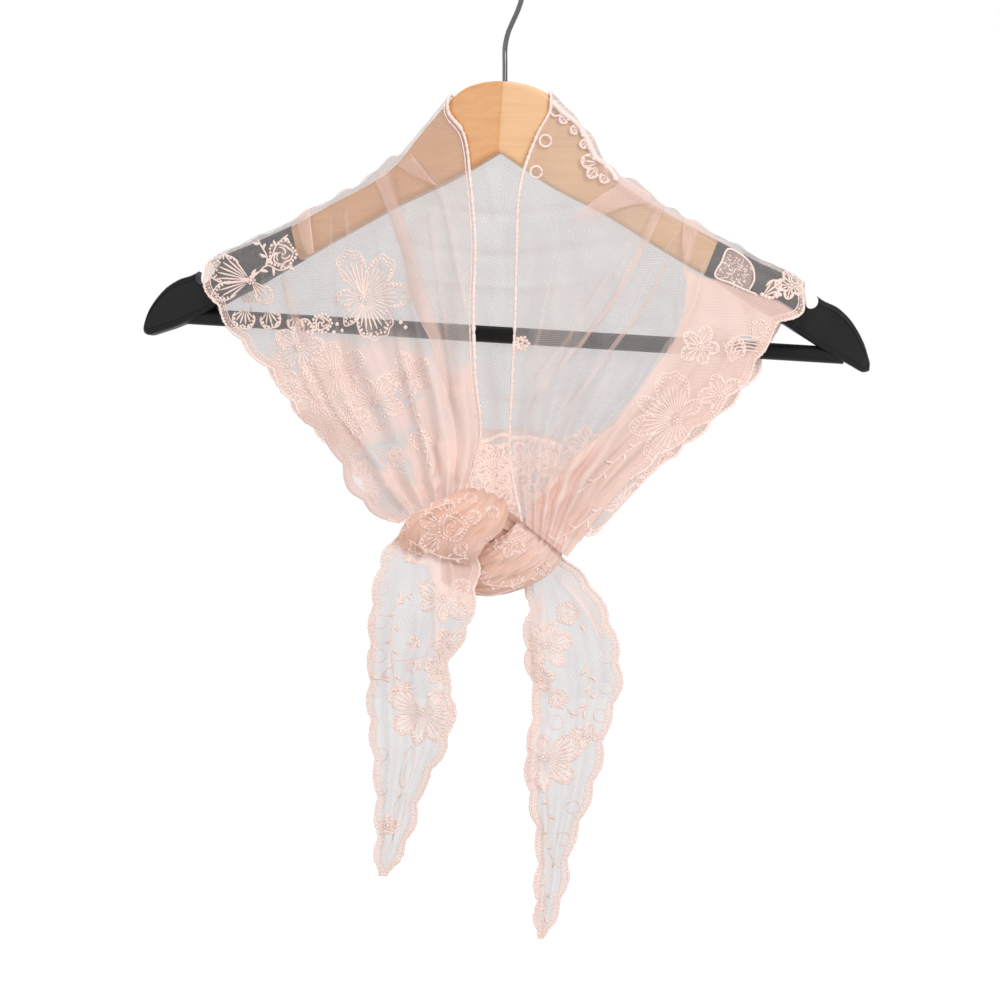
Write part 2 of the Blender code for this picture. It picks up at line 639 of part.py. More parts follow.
def strand(name, turns, parts, finish):
    """A rolled and pleated bundle of cloth, rounded at its ends, along the turns of its way."""
    uppers = [(t.upper_x, t.upper_y, t.upper_z) for t in turns]
    lowers = [(t.lower_x, t.lower_y, t.lower_z) for t in turns]
    thicks = [t.thick for t in turns]

    def middle(share):
        return (smooth_through(uppers, share) + smooth_through(lowers, share)) / 2

    mesh = bmesh.new()
    bmesh.ops.create_uvsphere(mesh, u_segments=STRAND_SIDES, v_segments=STRAND_RINGS, radius=1)
    for vertex in mesh.verts:
        ring = round(math.acos(min(max(vertex.co.z, -1), 1)) / math.pi * STRAND_RINGS)
        around = math.atan2(vertex.co.y, vertex.co.x)
        share = STRAND_END + (1 - 2 * STRAND_END) * (ring - 1) / (STRAND_RINGS - 2)
        share = min(max(share, 0), 1)
        upper, lower = smooth_through(uppers, share), smooth_through(lowers, share)
        ahead = middle(min(share + STRAND_END, 1)) - middle(max(share - STRAND_END, 0))
        normal = np.cross(upper - lower, ahead)
        normal /= np.linalg.norm(normal)
        closing = (1 - abs(2 * share - 1) ** BLUNTNESS) ** (1 / BLUNTNESS)
        thick = np.interp(share, np.linspace(0, 1, len(thicks)), thicks)
        pleats = PLEAT_DEPTH * math.cos(STRAND_PLEATS * 2 * around)
        width = math.cos(around) * closing / 2
        depth = math.sin(around) * (thick / 2 + pleats) * closing
        vertex.co = (upper + lower) / 2 + (upper - lower) * width + normal * depth
    if mesh.calc_volume(signed=True) < 0:
        bmesh.ops.reverse_faces(mesh, faces=mesh.faces)
    data = bpy.data.meshes.new(name)
    mesh.to_mesh(data)
    mesh.free()
    data.shade_smooth()
    return add_object(name, data, parts, finish)


def build_shawl(parts):
    net = material("shawl_net", SHAWL_PINK, 0.8)
    turned = material("shawl_turned_back", KNOT_PINK, 0.8)
    knot = material("shawl_knot", KNOT_PINK, 0.8)
    left = front_panel_point(-1, LEFT_FRONT_ROWS, LEFT_FOLDS)
    right = front_panel_point(1, RIGHT_FRONT_ROWS, RIGHT_FOLDS)
    back = back_panel_point(BACK_ROWS, BACK_FOLDS)
    sheet("front_left", left, 17, 28, parts, net, TURN_ROWS, TURN_SHARE)
    sheet("front_right", right, 17, 28, parts, net, TURN_ROWS, TURN_SHARE)
    sheet("back", back, 32, 25, parts, net, TURN_ROWS, TURN_SHARE)
    sheet("front_left_border_fold", patch(left, BORDER_FOLD), 4, 12, parts, turned)
    sheet("front_right_turned_under", patch(right, TURNED_UNDER), 6, 16, parts, turned)
    strand("knot_left_strand", LEFT_STRAND, parts, knot)
    strand("knot_right_strand", RIGHT_STRAND, parts, knot)
    strand("knot_over_turn", OVER_TURN, parts, knot)
    sheet("tail_left", tail_point(LEFT_TAIL_ROWS, LEFT_TAIL_FOLDS, 9), 10, 27, parts, net)
    sheet("tail_right", tail_point(RIGHT_TAIL_ROWS, RIGHT_TAIL_FOLDS, 10), 10, 30, parts, net)


def main():
    clear_scene()
    parts = new_collection("lace_shawl_on_hanger")
    cutters = new_collection("cutters")
    build_hanger(parts, cutters)
    build_shawl(parts)


main()
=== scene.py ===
import math

import bmesh
import bpy
import numpy as np
from mathutils import Matrix, Vector
from mathutils.bvhtree import BVHTree


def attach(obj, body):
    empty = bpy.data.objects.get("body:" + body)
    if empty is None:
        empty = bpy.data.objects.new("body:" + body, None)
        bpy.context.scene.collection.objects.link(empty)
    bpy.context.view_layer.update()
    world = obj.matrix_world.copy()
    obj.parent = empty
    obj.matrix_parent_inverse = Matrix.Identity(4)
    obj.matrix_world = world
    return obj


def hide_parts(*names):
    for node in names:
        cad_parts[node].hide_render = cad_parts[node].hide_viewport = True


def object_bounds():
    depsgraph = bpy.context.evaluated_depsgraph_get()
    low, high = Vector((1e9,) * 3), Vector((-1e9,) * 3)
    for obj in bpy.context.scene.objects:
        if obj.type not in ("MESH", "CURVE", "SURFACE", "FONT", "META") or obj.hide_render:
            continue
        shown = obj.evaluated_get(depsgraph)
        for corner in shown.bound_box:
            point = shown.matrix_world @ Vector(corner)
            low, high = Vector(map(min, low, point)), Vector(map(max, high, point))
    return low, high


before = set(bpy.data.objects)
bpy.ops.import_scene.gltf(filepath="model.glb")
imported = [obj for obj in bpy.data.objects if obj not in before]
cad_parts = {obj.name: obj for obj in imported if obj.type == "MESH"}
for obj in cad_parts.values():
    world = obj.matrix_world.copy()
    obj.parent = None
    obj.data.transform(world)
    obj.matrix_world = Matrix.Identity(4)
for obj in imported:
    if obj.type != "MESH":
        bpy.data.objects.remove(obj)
cadLow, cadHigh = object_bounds()
chance = np.random.default_rng(11)  # one seeded source for every small irregularity
print("frame loaded:", len(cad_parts), "nodes")

# Lines and places on the cloth are drawn in millimetres, right and up from the hook's rest,
# as they are seen from here on the upright plane through the hook.
viewpoint = {"place": (-0.003, -2.2, -0.326), "lens": 129.0, "sensor": 36.0}
eye = Vector(viewpoint["place"])


# small tools

def inMetres(rows):
    return np.array(rows, float) / 1000


def ease(value):
    value = np.clip(value, 0, 1)
    return value * value * (3 - 2 * value)


def unit(vectors):
    return vectors / np.maximum(np.linalg.norm(vectors, axis=-1, keepdims=True), 1e-12)


def polar(angles, reach=1.0):
    # points round a middle, at angles and distances from it
    return np.stack([np.cos(angles), np.sin(angles)], axis=-1) * np.asarray(reach)[..., None]


def lengthsAlong(line):
    # how far each point of a line is from its start
    return np.concatenate([[0], np.cumsum(np.linalg.norm(np.diff(line, axis=0), axis=1))])


def smoothAt(places, values, at):
    # a smooth curve through values at their places, read at other places
    k = np.clip(np.searchsorted(places, at, side="right") - 1, 0, len(places) - 2)
    slopes = np.gradient(values, places, axis=0)
    span = (places[k + 1] - places[k])[:, None]
    t = (at - places[k])[:, None] / span
    start = (1 + 2 * t) * (1 - t) ** 2 * values[k] + t * (1 - t) ** 2 * span * slopes[k]
    end = t * t * (3 - 2 * t) * values[k + 1] - t * t * (1 - t) * span * slopes[k + 1]
    return start + end


def smoothThrough(points, shares):
    # points on the smooth curve through some points, at shares of its length
    points = np.asarray(points, float)
    places = lengthsAlong(points)
    return smoothAt(places, points, np.clip(shares, 0, 1) * places[-1])


def resample(line, step):
    # a drawn line again, smooth, with points about a step apart
    line = np.asarray(line, float)
    length = np.linalg.norm(np.diff(line, axis=0), axis=1).sum()
    return smoothThrough(line, np.linspace(0, 1, max(int(length / step) + 1, 3)))


def newObject(name, mesh, material, solid=None, sharp=None):
    made = bpy.data.objects.new(name, mesh)
    bpy.context.scene.collection.objects.link(made)
    mesh.materials.append(material)
    mesh.shade_smooth()
    if sharp:
        mesh.set_sharp_from_angle(angle=math.radians(sharp))
    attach(made, "root")
    if solid:
        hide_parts(solid)
    return made


# materials

def node(tree, kind, settings=None, **inputs):
    # a shader node; an input called n with a number is found by its place
    made = tree.nodes.new("ShaderNode" + kind)
    for name, value in (settings or {}).items():
        setattr(made, name, value)
    for name, value in inputs.items():
        socket = made.inputs[int(name[1:]) if name[1:].isdigit() else name.replace("_", " ")]
        if isinstance(value, bpy.types.NodeSocket):
            tree.links.new(value, socket)
        else:
            socket.default_value = value
    return made


def calc(tree, operation, first, second=0.0, clamp=False):
    settings = {"operation": operation, "use_clamp": clamp}
    return node(tree, "Math", settings, n0=first, n1=second).outputs[0]


def between(tree, share, low, high, blend="MIX"):
    settings = {"data_type": "RGBA", "blend_type": blend}
    return node(tree, "Mix", settings, n0=share, n6=low, n7=high).outputs[2]


def span(tree, value, fromLow, fromHigh, toLow, toHigh):
    inputs = {"From Min": fromLow, "From Max": fromHigh, "To Min": toLow, "To Max": toHigh}
    return node(tree, "MapRange", None, Value=value, **inputs).outputs[0]


def noise(tree, place, scale, detail, distortion=0.0):
    inputs = {"Scale": scale, "Detail": detail, "Distortion": distortion}
    return node(tree, "TexNoise", None, Vector=place, **inputs).outputs["Fac"]


def objectPlace(tree, stretch=None):
    place = node(tree, "TexCoord").outputs["Object"]
    return node(tree, "Mapping", None, Vector=place, Scale=stretch).outputs[0] if stretch else place


def newMaterial(name, **constants):
    made = bpy.data.materials.new(name)
    made.use_nodes = True
    tree = made.node_tree
    shader = tree.nodes["Principled BSDF"]
    for key, value in constants.items():
        shader.inputs[key.replace("_", " ")].default_value = value
    return made, tree, shader


def feed(tree, shader, bump=None, **sockets):
    # joins textures to the shader; bump gives its strength, its depth and the texture of its height
    if bump:
        strength, depth, height = bump
        bumped = node(tree, "Bump", None, Strength=strength, Distance=depth, Height=height)
        sockets["Normal"] = bumped.outputs[0]
    for key, value in sockets.items():
        tree.links.new(value, shader.inputs[key.replace("_", " ")])


netFinish = {
    "hole": 0.0012,  # from one hole of the mesh to the next
    "holeDepth": 0.00010,
    "pale": (0.62, 0.585, 0.575, 1),  # one layer of the fronts
    "grey": (0.43, 0.375, 0.37, 1),  # painted shade: one layer of the back and the ends, darker and greyer for the shade that they hang in
    "dense": ((0.885, 0.655, 0.59, 1), (0.86, 0.55, 0.44, 1)),  # many layers, pink and warmer
    "knotted": ((0.83, 0.58, 0.495, 1), (0.80, 0.475, 0.36, 1)),
    "threadEdge": (1.9, -0.1),  # the waves' sum at a hole's rim and in the full thread
    "uneven": 38.0,  # scale of its thicker and thinner patches, and how much they change it
    "unevenBy": (0.86, 1.14),
    "holeHides": 0.55,  # how much less a hole hides than the net as a whole, and a thread more
    "threadHides": 0.45,
    # painted shade: how much darker the colour is in the mesh's holes than on its threads
    "holeShade": 0.16,
    "relief": 0.5,
    "blush": 17.0,  # scale of its pinker patches
}


def netMaterial(name, thin, full, warmth, contrast):
    # mesh with round holes in a triangular array; cover and tone say how much it hides and how pink it is
    made, tree, shader = newMaterial(name, Roughness=0.62, Sheen_Weight=0.2, Sheen_Roughness=0.4)
    place = node(tree, "UVMap", {"uv_map": "netting"}).outputs[0]
    cover = node(tree, "Attribute", {"attribute_name": "cover"}).outputs["Fac"]
    tone = node(tree, "Attribute", {"attribute_name": "tone"}).outputs["Fac"]
    waves = None
    pitch = 4 * math.pi / (math.sqrt(3) * netFinish["hole"])
    for turn in (0, 60, 120):
        way = (pitch * math.cos(math.radians(turn)), pitch * math.sin(math.radians(turn)), 0)
        along = node(tree, "VectorMath", {"operation": "DOT_PRODUCT"}, n0=place, n1=way).outputs["Value"]
        wave = calc(tree, "COSINE", along)
        waves = wave if waves is None else calc(tree, "ADD", waves, wave)
    mesh = span(tree, waves, *netFinish["threadEdge"], 0.0, 1.0)
    uneven = span(tree, noise(tree, place, netFinish["uneven"], 3.0), 0.3, 0.7, *netFinish["unevenBy"])
    least, most = 1 - netFinish["holeHides"] * contrast, 1 + netFinish["threadHides"] * contrast
    layers = span(tree, mesh, 0.0, 1.0, least, most)
    layers = calc(tree, "MULTIPLY", layers, uneven)
    seenThrough = calc(tree, "POWER", calc(tree, "SUBTRACT", 1.0, cover), layers)
    blush = span(tree, noise(tree, place, netFinish["blush"], 2.0), 0.35, 0.65, 0.2, 1.0)
    pink = between(tree, calc(tree, "MULTIPLY", blush, warmth), *full)
    # painted shade: the base colour darker in the holes, lighter on the threads
    gap = 1 - netFinish["holeShade"] * contrast
    shade = between(tree, mesh, (gap, gap, gap, 1), (1, 1, 1, 1))
    colour = between(tree, 1.0, between(tree, tone, thin, pink), shade, "MULTIPLY")
    feed(tree, shader, (netFinish["relief"] * contrast, netFinish["holeDepth"], mesh), Base_Color=colour,
         Alpha=calc(tree, "SUBTRACT", 1.0, seenThrough, True))
    return made


threadFinish = {
    # painted light: the lightest colour, used only for the back's threads to make up for the shade they lie
    # in
    "litPalest": (1.0, 0.88, 0.83, 1),
    "pale": (0.96, 0.79, 0.73, 1),
    "deep": (0.88, 0.62, 0.54, 1),
    # painted light: the colour of the glow that stands for light coming through the thread
    "glow": (1.0, 0.70, 0.60, 1),
    "stitch": 0.00045,  # from one stitch to the next
    "stitchDepth": 0.0002,
}


def threadMaterial(name, light, dark, deeper, glow=0.0):
    # satin stitching: a silky thread with fine stitches across it; glow is painted light, an emission that
    # stands for light that comes through
    made, tree, shader = newMaterial(name, Roughness=0.42, Sheen_Weight=0.3, Sheen_Roughness=0.35,
                                     Emission_Color=threadFinish["glow"], Emission_Strength=glow)
    place = objectPlace(tree)
    fleck, patch = noise(tree, place, 420.0, 2.0), noise(tree, place, 30.0, 1.0)
    share = calc(tree, "ADD", calc(tree, "MULTIPLY", patch, 0.7), calc(tree, "MULTIPLY", fleck, 0.5))
    tone = span(tree, share, 0.35, 0.85, deeper - 0.35, deeper + 0.35)
    stitches = noise(tree, place, 1 / threadFinish["stitch"], 1.0)
    colour = between(tree, tone, threadFinish[light], threadFinish[dark])
    feed(tree, shader, (0.5, threadFinish["stitchDepth"], stitches), Base_Color=colour)
    return made


woodFinish = {
    # painted light and shade: the left arm's wood is darker, as shade, and the right arm's lighter, as light
    # falling on it
    "left": ((0.735, 0.375, 0.15, 1), (0.645, 0.29, 0.105, 1)),  # pale and dark of its grain
    "right": ((0.80, 0.495, 0.265, 1), (0.725, 0.405, 0.195, 1)),
    "rings": (9.0, 60.0, 120.0),  # drawn out along the arms
    "pores": (60.0, 500.0, 900.0),
}


def woodMaterial(word):
    # pale lacquered hardwood with its grain along the arms; the left arm's colours are painted darker as
    # shade, the right arm's lighter as painted light
    lacquer = {"Roughness": 0.34, "Coat_Weight": 0.25, "Coat_Roughness": 0.18}
    made, tree, shader = newMaterial("lacqueredWood_" + word, **lacquer)
    rings = noise(tree, objectPlace(tree, woodFinish["rings"]), 2.2, 6.0, 0.6)
    pores = noise(tree, objectPlace(tree, woodFinish["pores"]), 2.0, 2.0)
    share = calc(tree, "ADD", span(tree, rings, 0.36, 0.66, 0.0, 0.55),
                 span(tree, pores, 0.45, 0.8, 0.0, 0.35))
    feed(tree, shader, (0.25, 0.0001, pores), Base_Color=between(tree, share, *woodFinish[word]),
         Roughness=span(tree, pores, 0.3, 0.8, 0.30, 0.42))
    return made


plasticFinish = {"black": (0.008, 0.008, 0.009, 1), "scuffed": (0.016, 0.016, 0.017, 1), "grain": 900.0}


def plasticMaterial():
    # satin moulded plastic, a little uneven and scuffed
    made, tree, shader = newMaterial("mouldedPlastic", Roughness=0.5, Specular_IOR_Level=0.17)
    place = objectPlace(tree)
    scuff = noise(tree, place, 22.0, 5.0)
    shade = span(tree, scuff, 0.4, 0.75, 0.0, 1.0)
    feed(tree, shader, (0.35, 0.0001, noise(tree, place, plasticFinish["grain"], 3.0)),
         Base_Color=between(tree, shade, plasticFinish["black"], plasticFinish["scuffed"]),
         Roughness=span(tree, scuff, 0.3, 0.75, 0.36, 0.56))
    return made


steelFinish = {
    "dark": (0.10, 0.10, 0.105, 1),
    "light": (0.20, 0.20, 0.205, 1),
    "drawn": (2500.0, 2500.0, 60.0),  # fine marks along the wire
}


def steelMaterial():
    # dark nickel-plated wire with fine drawing marks
    made, tree, shader = newMaterial("darkNickel", Metallic=1.0, Roughness=0.3)
    marks = noise(tree, objectPlace(tree, steelFinish["drawn"]), 1.0, 2.0)
    feed(tree, shader, Base_Color=between(tree, marks, steelFinish["dark"], steelFinish["light"]),
         Roughness=span(tree, marks, 0.3, 0.7, 0.24, 0.38))
    return made


frontNet = netMaterial("paleNet", netFinish["pale"], netFinish["dense"], 0.45, 0.8)
# the back's and the ends' net: the same net with a greyer, darker colour, as painted shade
shadedNet = netMaterial("greyNet", netFinish["grey"], netFinish["dense"], 0.3, 0.7)
knotNet = netMaterial("gatheredNet", netFinish["dense"][0], netFinish["knotted"], 1.0, 0.45)
thread = threadMaterial("satinThread", "pale", "deep", 0.3)
# painted light: the back's thread is paler and glows, in place of the light that the shade takes from it
backThread = threadMaterial("litSatinThread", "litPalest", "pale", 0.4, 0.22)
knotThread = threadMaterial("warmSatinThread", "pale", "deep", 0.75)
wood = {word: woodMaterial(word) for word in ("left", "right")}
plastic, steel = plasticMaterial(), steelMaterial()
print("materials made")


# hanger

hanger = {
    "hubDrop": 0.069,  # from the rail down to the top of the wood
    "roll": math.radians(3.9),
    "yaw": math.radians(-11),
    "rake": math.radians(12),  # how far the arms slant back, and their tips
    "tipRake": math.radians(3),
    "rakeEnds": 0.190,
    "rakeRuns": (0.004, 0.006),  # over which the slant starts, and changes for the tips
    "ridgeFlat": 0.0015,
    "woodEnd": 0.137,
    "jointLean": 0.0070,  # the joint of wood and moulded end lies further in at the bottom edge
    "jointReach": 0.016,
    "corner": 0.0034,
    "barRadius": 0.0052,
    "barHeight": -0.1541,
    "barDepth": 0.0405,
    "barHalf": 0.2150,
}
# stations in millimetres: along the arm, its top edge and its bottom edge
woodShape = {
    "stations": inMetres((
        (0, 0, -44.3), (1.5, -0.1, -45), (15, -1.8, -52.8), (28, -7.2, -60.2), (36, -15, -64.5),
        (45, -25, -68.8), (55, -37.5, -73.4), (65, -50.5, -78.2), (76, -60.2, -84), (90, -68.5, -92),
        (110, -79, -103), (137, -91.7, -116.5),
    )),
    "starts": 0.00003,
    "thick": 0.012,
    "rim": 0.002,
    "recess": 0.0,
    "columns": 110,
    "tipRound": 0,
}
capShape = {
    "stations": inMetres((
        (137.3, -91.8, -116.6), (165, -102.5, -130.5), (181, -108.6, -138.5), (194.4, -115.8, -146.2),
        (204, -122.2, -151.5), (215, -127.2, -157), (224, -135.8, -161.5), (231, -147, -164.8),
        (235.5, -157, -165.5),
    )),
    "starts": 0.1373,
    "thick": 0.0145,
    "rim": 0.0028,  # width of the raised rim
    "recess": 0.0007,
    "columns": 90,
    "tipRound": 0.0050,
    "tipHeight": 0.45,  # shares of the height and thickness that are left at the tip
    "tipThick": 0.30,
}
notch = {
    "radius": 0.0046,
    "along": 0.1975,
    "drop": 0.0056,  # its round bottom's middle under the end's top edge
    "lean": math.radians(-34),
    "opens": 0.012,
}
# along each arm, how much it rises over that: the left end hangs lower and the right arm is straighter
armRise = {
    -1: inMetres(((110, 0), (137, -2.4), (165, -4.5), (195, -5.8), (215, -5.2), (235.5, -2.4))),
    1: inMetres(((30, 0), (80, 1.8), (110, 2.6), (137, 2.8), (165, 1.2), (235.5, 1.4))),
}
hookShape = {
    "radius": 0.0016,
    "inner": 0.019,
    "swivel": math.radians(60),
    "mouth": math.radians(165),
    "shank": inMetres((
        (0, -68.7), (0, -58), (0.2, -48), (3.4, -40.4), (10, -33), (16.8, -26),
    )),
}

hangerPlace = np.array(
    Matrix.Translation((0, 0, -hanger["hubDrop"]))
    @ Matrix.Rotation(hanger["yaw"], 4, "Z")
    @ Matrix.Rotation(hanger["roll"], 4, "Y")
)


def onHanger(points):
    return points @ hangerPlace[:3, :3].T + hangerPlace[:3, 3]


def armPlan(along):
    # how far out and back a place along the arm is
    along = np.asarray(along, float)
    flat = np.minimum(along, hanger["ridgeFlat"])
    raked = np.clip(along - hanger["ridgeFlat"], 0, hanger["rakeEnds"] - hanger["ridgeFlat"])
    tip = np.maximum(along - hanger["rakeEnds"], 0)
    out = flat + raked * math.cos(hanger["rake"]) + tip * math.cos(hanger["tipRake"])
    back = raked * math.sin(hanger["rake"]) + tip * math.sin(hanger["tipRake"])
    return out, back


def riseOf(side, along):
    left, right = (np.interp(along, *armRise[hand].T) for hand in (-1, 1))
    return np.where(np.asarray(side) > 0, right, left)


def armEdge(side, along, column):
    stations = np.concatenate([woodShape["stations"], capShape["stations"][1:]])
    return np.interp(along, stations[:, 0], stations[:, column]) + riseOf(side, along)


def armTop(side, along):
    out, back = armPlan(along)
    return onHanger(np.stack([side * out, back, armEdge(side, along, 1)], axis=-1))


def armRing(height, thick, rim, recess):
    # round-edged section of an arm, with its faces sunk inside a rim
    half = height / 2
    corner = min(hanger["corner"], 0.9 * half, 0.48 * thick)
    rim = min(max(rim, corner * 1.05), 0.6 * half)
    sunk = recess * float(ease((half - 0.0055) / 0.003))
    step = min(0.0006, 0.1 * half)
    flat = min(half - corner * 1.02, half - rim)
    ring = [(-thick / 2, -flat), (-thick / 2 + sunk, rim + step - half),
            (-thick / 2 + sunk, half - rim - step), (-thick / 2, flat)]
    for start, out in ((180, -1), (90, 1)):
        for k in range(7):
            x, z = corner * polar(math.radians(start - 15 * k))
            ring.append((out * (thick / 2 - corner) + x, half - corner + z))
    return np.array(ring + [(-x, -z) for x, z in ring])


def meshFrom(name, shape):
    data = bpy.data.meshes.new(name)
    shape.to_mesh(data)
    shape.free()
    return data


def lofted(name, rings):
    # a closed skin over rings of points
    shape = bmesh.new()
    loops = [[shape.verts.new(point) for point in ring] for ring in rings]
    around = len(loops[0])
    for first, second in zip(loops, loops[1:]):
        for k in range(around):
            following = (k + 1) % around
            shape.faces.new((first[k], first[following], second[following], second[k]))
    shape.faces.new(loops[0])
    shape.faces.new(reversed(loops[-1]))
    bmesh.ops.recalc_face_normals(shape, faces=shape.faces)
    return meshFrom(name, shape)


def edgesAt(shape, side, along):
    # heights of the arm's top and bottom edges
    along, stations = np.atleast_1d(along), shape["stations"]
    return (smoothAt(stations[:, 0], stations[:, 1:], along) + riseOf(side, along)[:, None]).T


def armMesh(name, side, shape):
    ends, tipRound = shape["stations"][-1, 0], shape["tipRound"]
    alongs = np.linspace(shape["starts"], ends, shape["columns"])
    if tipRound:
        tail = ends - tipRound * (1 - np.sin(np.linspace(0, math.pi / 2, 12)))
        alongs = np.concatenate([alongs[alongs < ends - tipRound * 1.05], tail])
    rings = []
    for along in alongs:
        top, bottom = edgesAt(shape, side, along)[:, 0]
        height, thick = top - bottom, shape["thick"]
        if tipRound and along > ends - tipRound:
            closing = math.sqrt(max(1 - ((along - ends + tipRound) / tipRound) ** 2, 0))
            height *= shape["tipHeight"] + (1 - shape["tipHeight"]) * closing
            thick *= shape["tipThick"] + (1 - shape["tipThick"]) * closing
        depth, up = armRing(height, thick, shape["rim"], shape["recess"]).T
        starts, changes = hanger["rakeRuns"]
        started, changed = ease(along / starts), ease((along - hanger["rakeEnds"]) / changes + 0.5)
        lean = float(hanger["rake"] * started + (hanger["tipRake"] - hanger["rake"]) * changed)
        below = (0.5 - up / height) * math.exp(-(((along - hanger["woodEnd"]) / hanger["jointReach"]) ** 2))
        places = along - hanger["jointLean"] * below
        out, back = armPlan(places)
        tops, bottoms = edgesAt(shape, side, places)
        up = (tops + bottoms) / 2 + up * (tops - bottoms) / (top - bottom)
        ring = np.stack([side * (out - depth * math.sin(lean)), back + depth * math.cos(lean), up], axis=1)
        rings.append(onHanger(ring))
    return lofted(name, rings)


def notchCutter(side):
    shape = bmesh.new()
    radius = notch["radius"]
    bmesh.ops.create_cone(shape, cap_ends=True, segments=40, radius1=radius, radius2=radius,
                          depth=3 * capShape["thick"], matrix=Matrix.Rotation(math.radians(90), 4, "Y"))
    for vertex in shape.verts:
        if vertex.co.z > radius / 8:
            vertex.co.z += notch["opens"]
    out, back = armPlan(notch["along"])
    turn = Matrix.Rotation(math.radians(90), 4, "Z") @ Matrix.Rotation(side * notch["lean"], 4, "X")
    height = float(armEdge(side, notch["along"], 1)) - notch["drop"]
    place = Matrix.Translation((side * float(out), float(back), height)) @ turn
    bmesh.ops.transform(shape, matrix=Matrix(hangerPlace.tolist()) @ place, verts=shape.verts)
    return meshFrom("notchCutter", shape)


def cutAway(mesh, cutter):
    # the mesh with the cutter taken out, as a new mesh
    body, tool = bpy.data.objects.new("body", mesh), bpy.data.objects.new("tool", cutter)
    for made in (body, tool):
        bpy.context.scene.collection.objects.link(made)
    boolean = body.modifiers.new("cut", "BOOLEAN")
    boolean.operation = "DIFFERENCE"
    boolean.object = tool
    bpy.context.view_layer.update()
    result = bpy.data.meshes.new_from_object(body.evaluated_get(bpy.context.evaluated_depsgraph_get()))
    bpy.data.objects.remove(body)
    bpy.data.objects.remove(tool)
    return result


def tubeMesh(name, line, radius, sides, roundEnds):
    # a round wire along a line, its ends domed or flat
    normal = np.array([0.3, 0.9, 0.1])
    rings = []
    for place, way in zip(line, unit(np.gradient(line, axis=0))):
        normal = unit(normal - way * (normal @ way))
        rings.append((place, radius, normal, way))
    if roundEnds:
        for end, sign in ((0, -1), (-1, 1)):
            place, _, normal, way = rings[end]
            domes = []
            for angle in np.radians((18, 36, 54, 72, 90)):
                ahead, size = radius * math.sin(angle), radius * max(math.cos(angle), 0.05)
                domes.append((place + sign * way * ahead, size, normal, way))
            rings = domes[::-1] + rings if end == 0 else rings + domes
    turns = polar(np.linspace(0, 2 * math.pi, sides, endpoint=False))
    return lofted(name, [place + size * (turns[:, :1] * normal + turns[:, 1:] * np.cross(way, normal))
                         for place, size, normal, way in rings])


def buildHanger():
    for side, word in ((-1, "left"), (1, "right")):
        name = "wooden_arm_" + word
        newObject(name, armMesh(name, side, woodShape), wood[word], "yoke_" + word, 40)
        name = "shoulder_end_" + word
        cap = cutAway(armMesh(name, side, capShape), notchCutter(side))
        newObject(name, cap, plastic, "shoulder_cap_" + word, 32)
    half, depth, height = hanger["barHalf"], hanger["barDepth"], hanger["barHeight"]
    bar = onHanger(np.linspace((-half, depth, height), (half, depth, height), 60))
    bar = tubeMesh("trouser_rail", bar, hanger["barRadius"], 40, False)
    newObject("trouser_rail", bar, plastic, "trouser_bar", 40)
    inner, swivel = hookShape["inner"], hookShape["swivel"]
    bend = polar(np.linspace(0, hookShape["mouth"], 25), inner + hookShape["radius"]) - (0, inner)
    out, up = np.concatenate([hookShape["shank"], bend]).T
    line = np.stack([out * math.cos(swivel), -out * math.sin(swivel), up], axis=1)
    wire = tubeMesh("hook", smoothThrough(line, np.linspace(0, 1, 220)), hookShape["radius"], 20, True)
    newObject("hook", wire, steel, "hook_wire")


buildHanger()
print("hanger made")


# the cloth's surfaces

lay = {
    "cover": 0.0030,  # the cloth's middle over the wood's top edge
    "faceCover": 0.0021,
    "stepRun": 0.016,
    "seam": 0.00035,
    "faceDrop": 0.017,
    "neckDip": 0.022,
    "neckCrosses": 0.48,
    "rowSags": 1.6,
    "columnsClose": 0.6,
    "backRest": 0.0075,
    "leavesArm": 0.004,
    "meetsBar": 0.006,
    "shortestRun": 0.008,
    "hangsFree": 0.12,
    "turnShare": 0.05,
    "turnRows": 20,
    "overArm": ((0.0, 0.0), (0.62, 0.0006), (0.97, 0.0036), (1.0, 0.0090)),
    "foldToWidth": 0.13,
    "neckAlong": {-1: 0.0335, 1: 0.0285},
    "shoulderAlong": {-1: 0.1945, 1: 0.1920},
    "bumpsEnd": 0.055,
}
scallop = {
    "depth": 0.0035, "out": 0.8, "down": 0.6, "from": 0.85, "hemFrom": 0.90, "perSide": 8, "perHem": 12,
    "fade": 0.08,  # over which they end where the edge becomes a plain fold
    "endFade": 0.05,  # over which they start and end along a tail
}
net = {
    "single": 0.22,  # how much one layer of the fronts hides
    "shaded": 1.8,  # the back and the ends as so many layers of that, denser and darker as painted shade
    "flankDenser": 0.55,
    "borderWide": 0.0050,  # the denser edge
    "borderFade": 0.0012,
    "borderLayers": 1.6,
    "pinkAt": 2.6,  # added layers at which the net is at its pinkest
    "leastLayers": 0.5,
    "fillSoft": 0.7,  # soft edge of the net under a petal, and how pink it is
    "fillPink": 0.9,
}

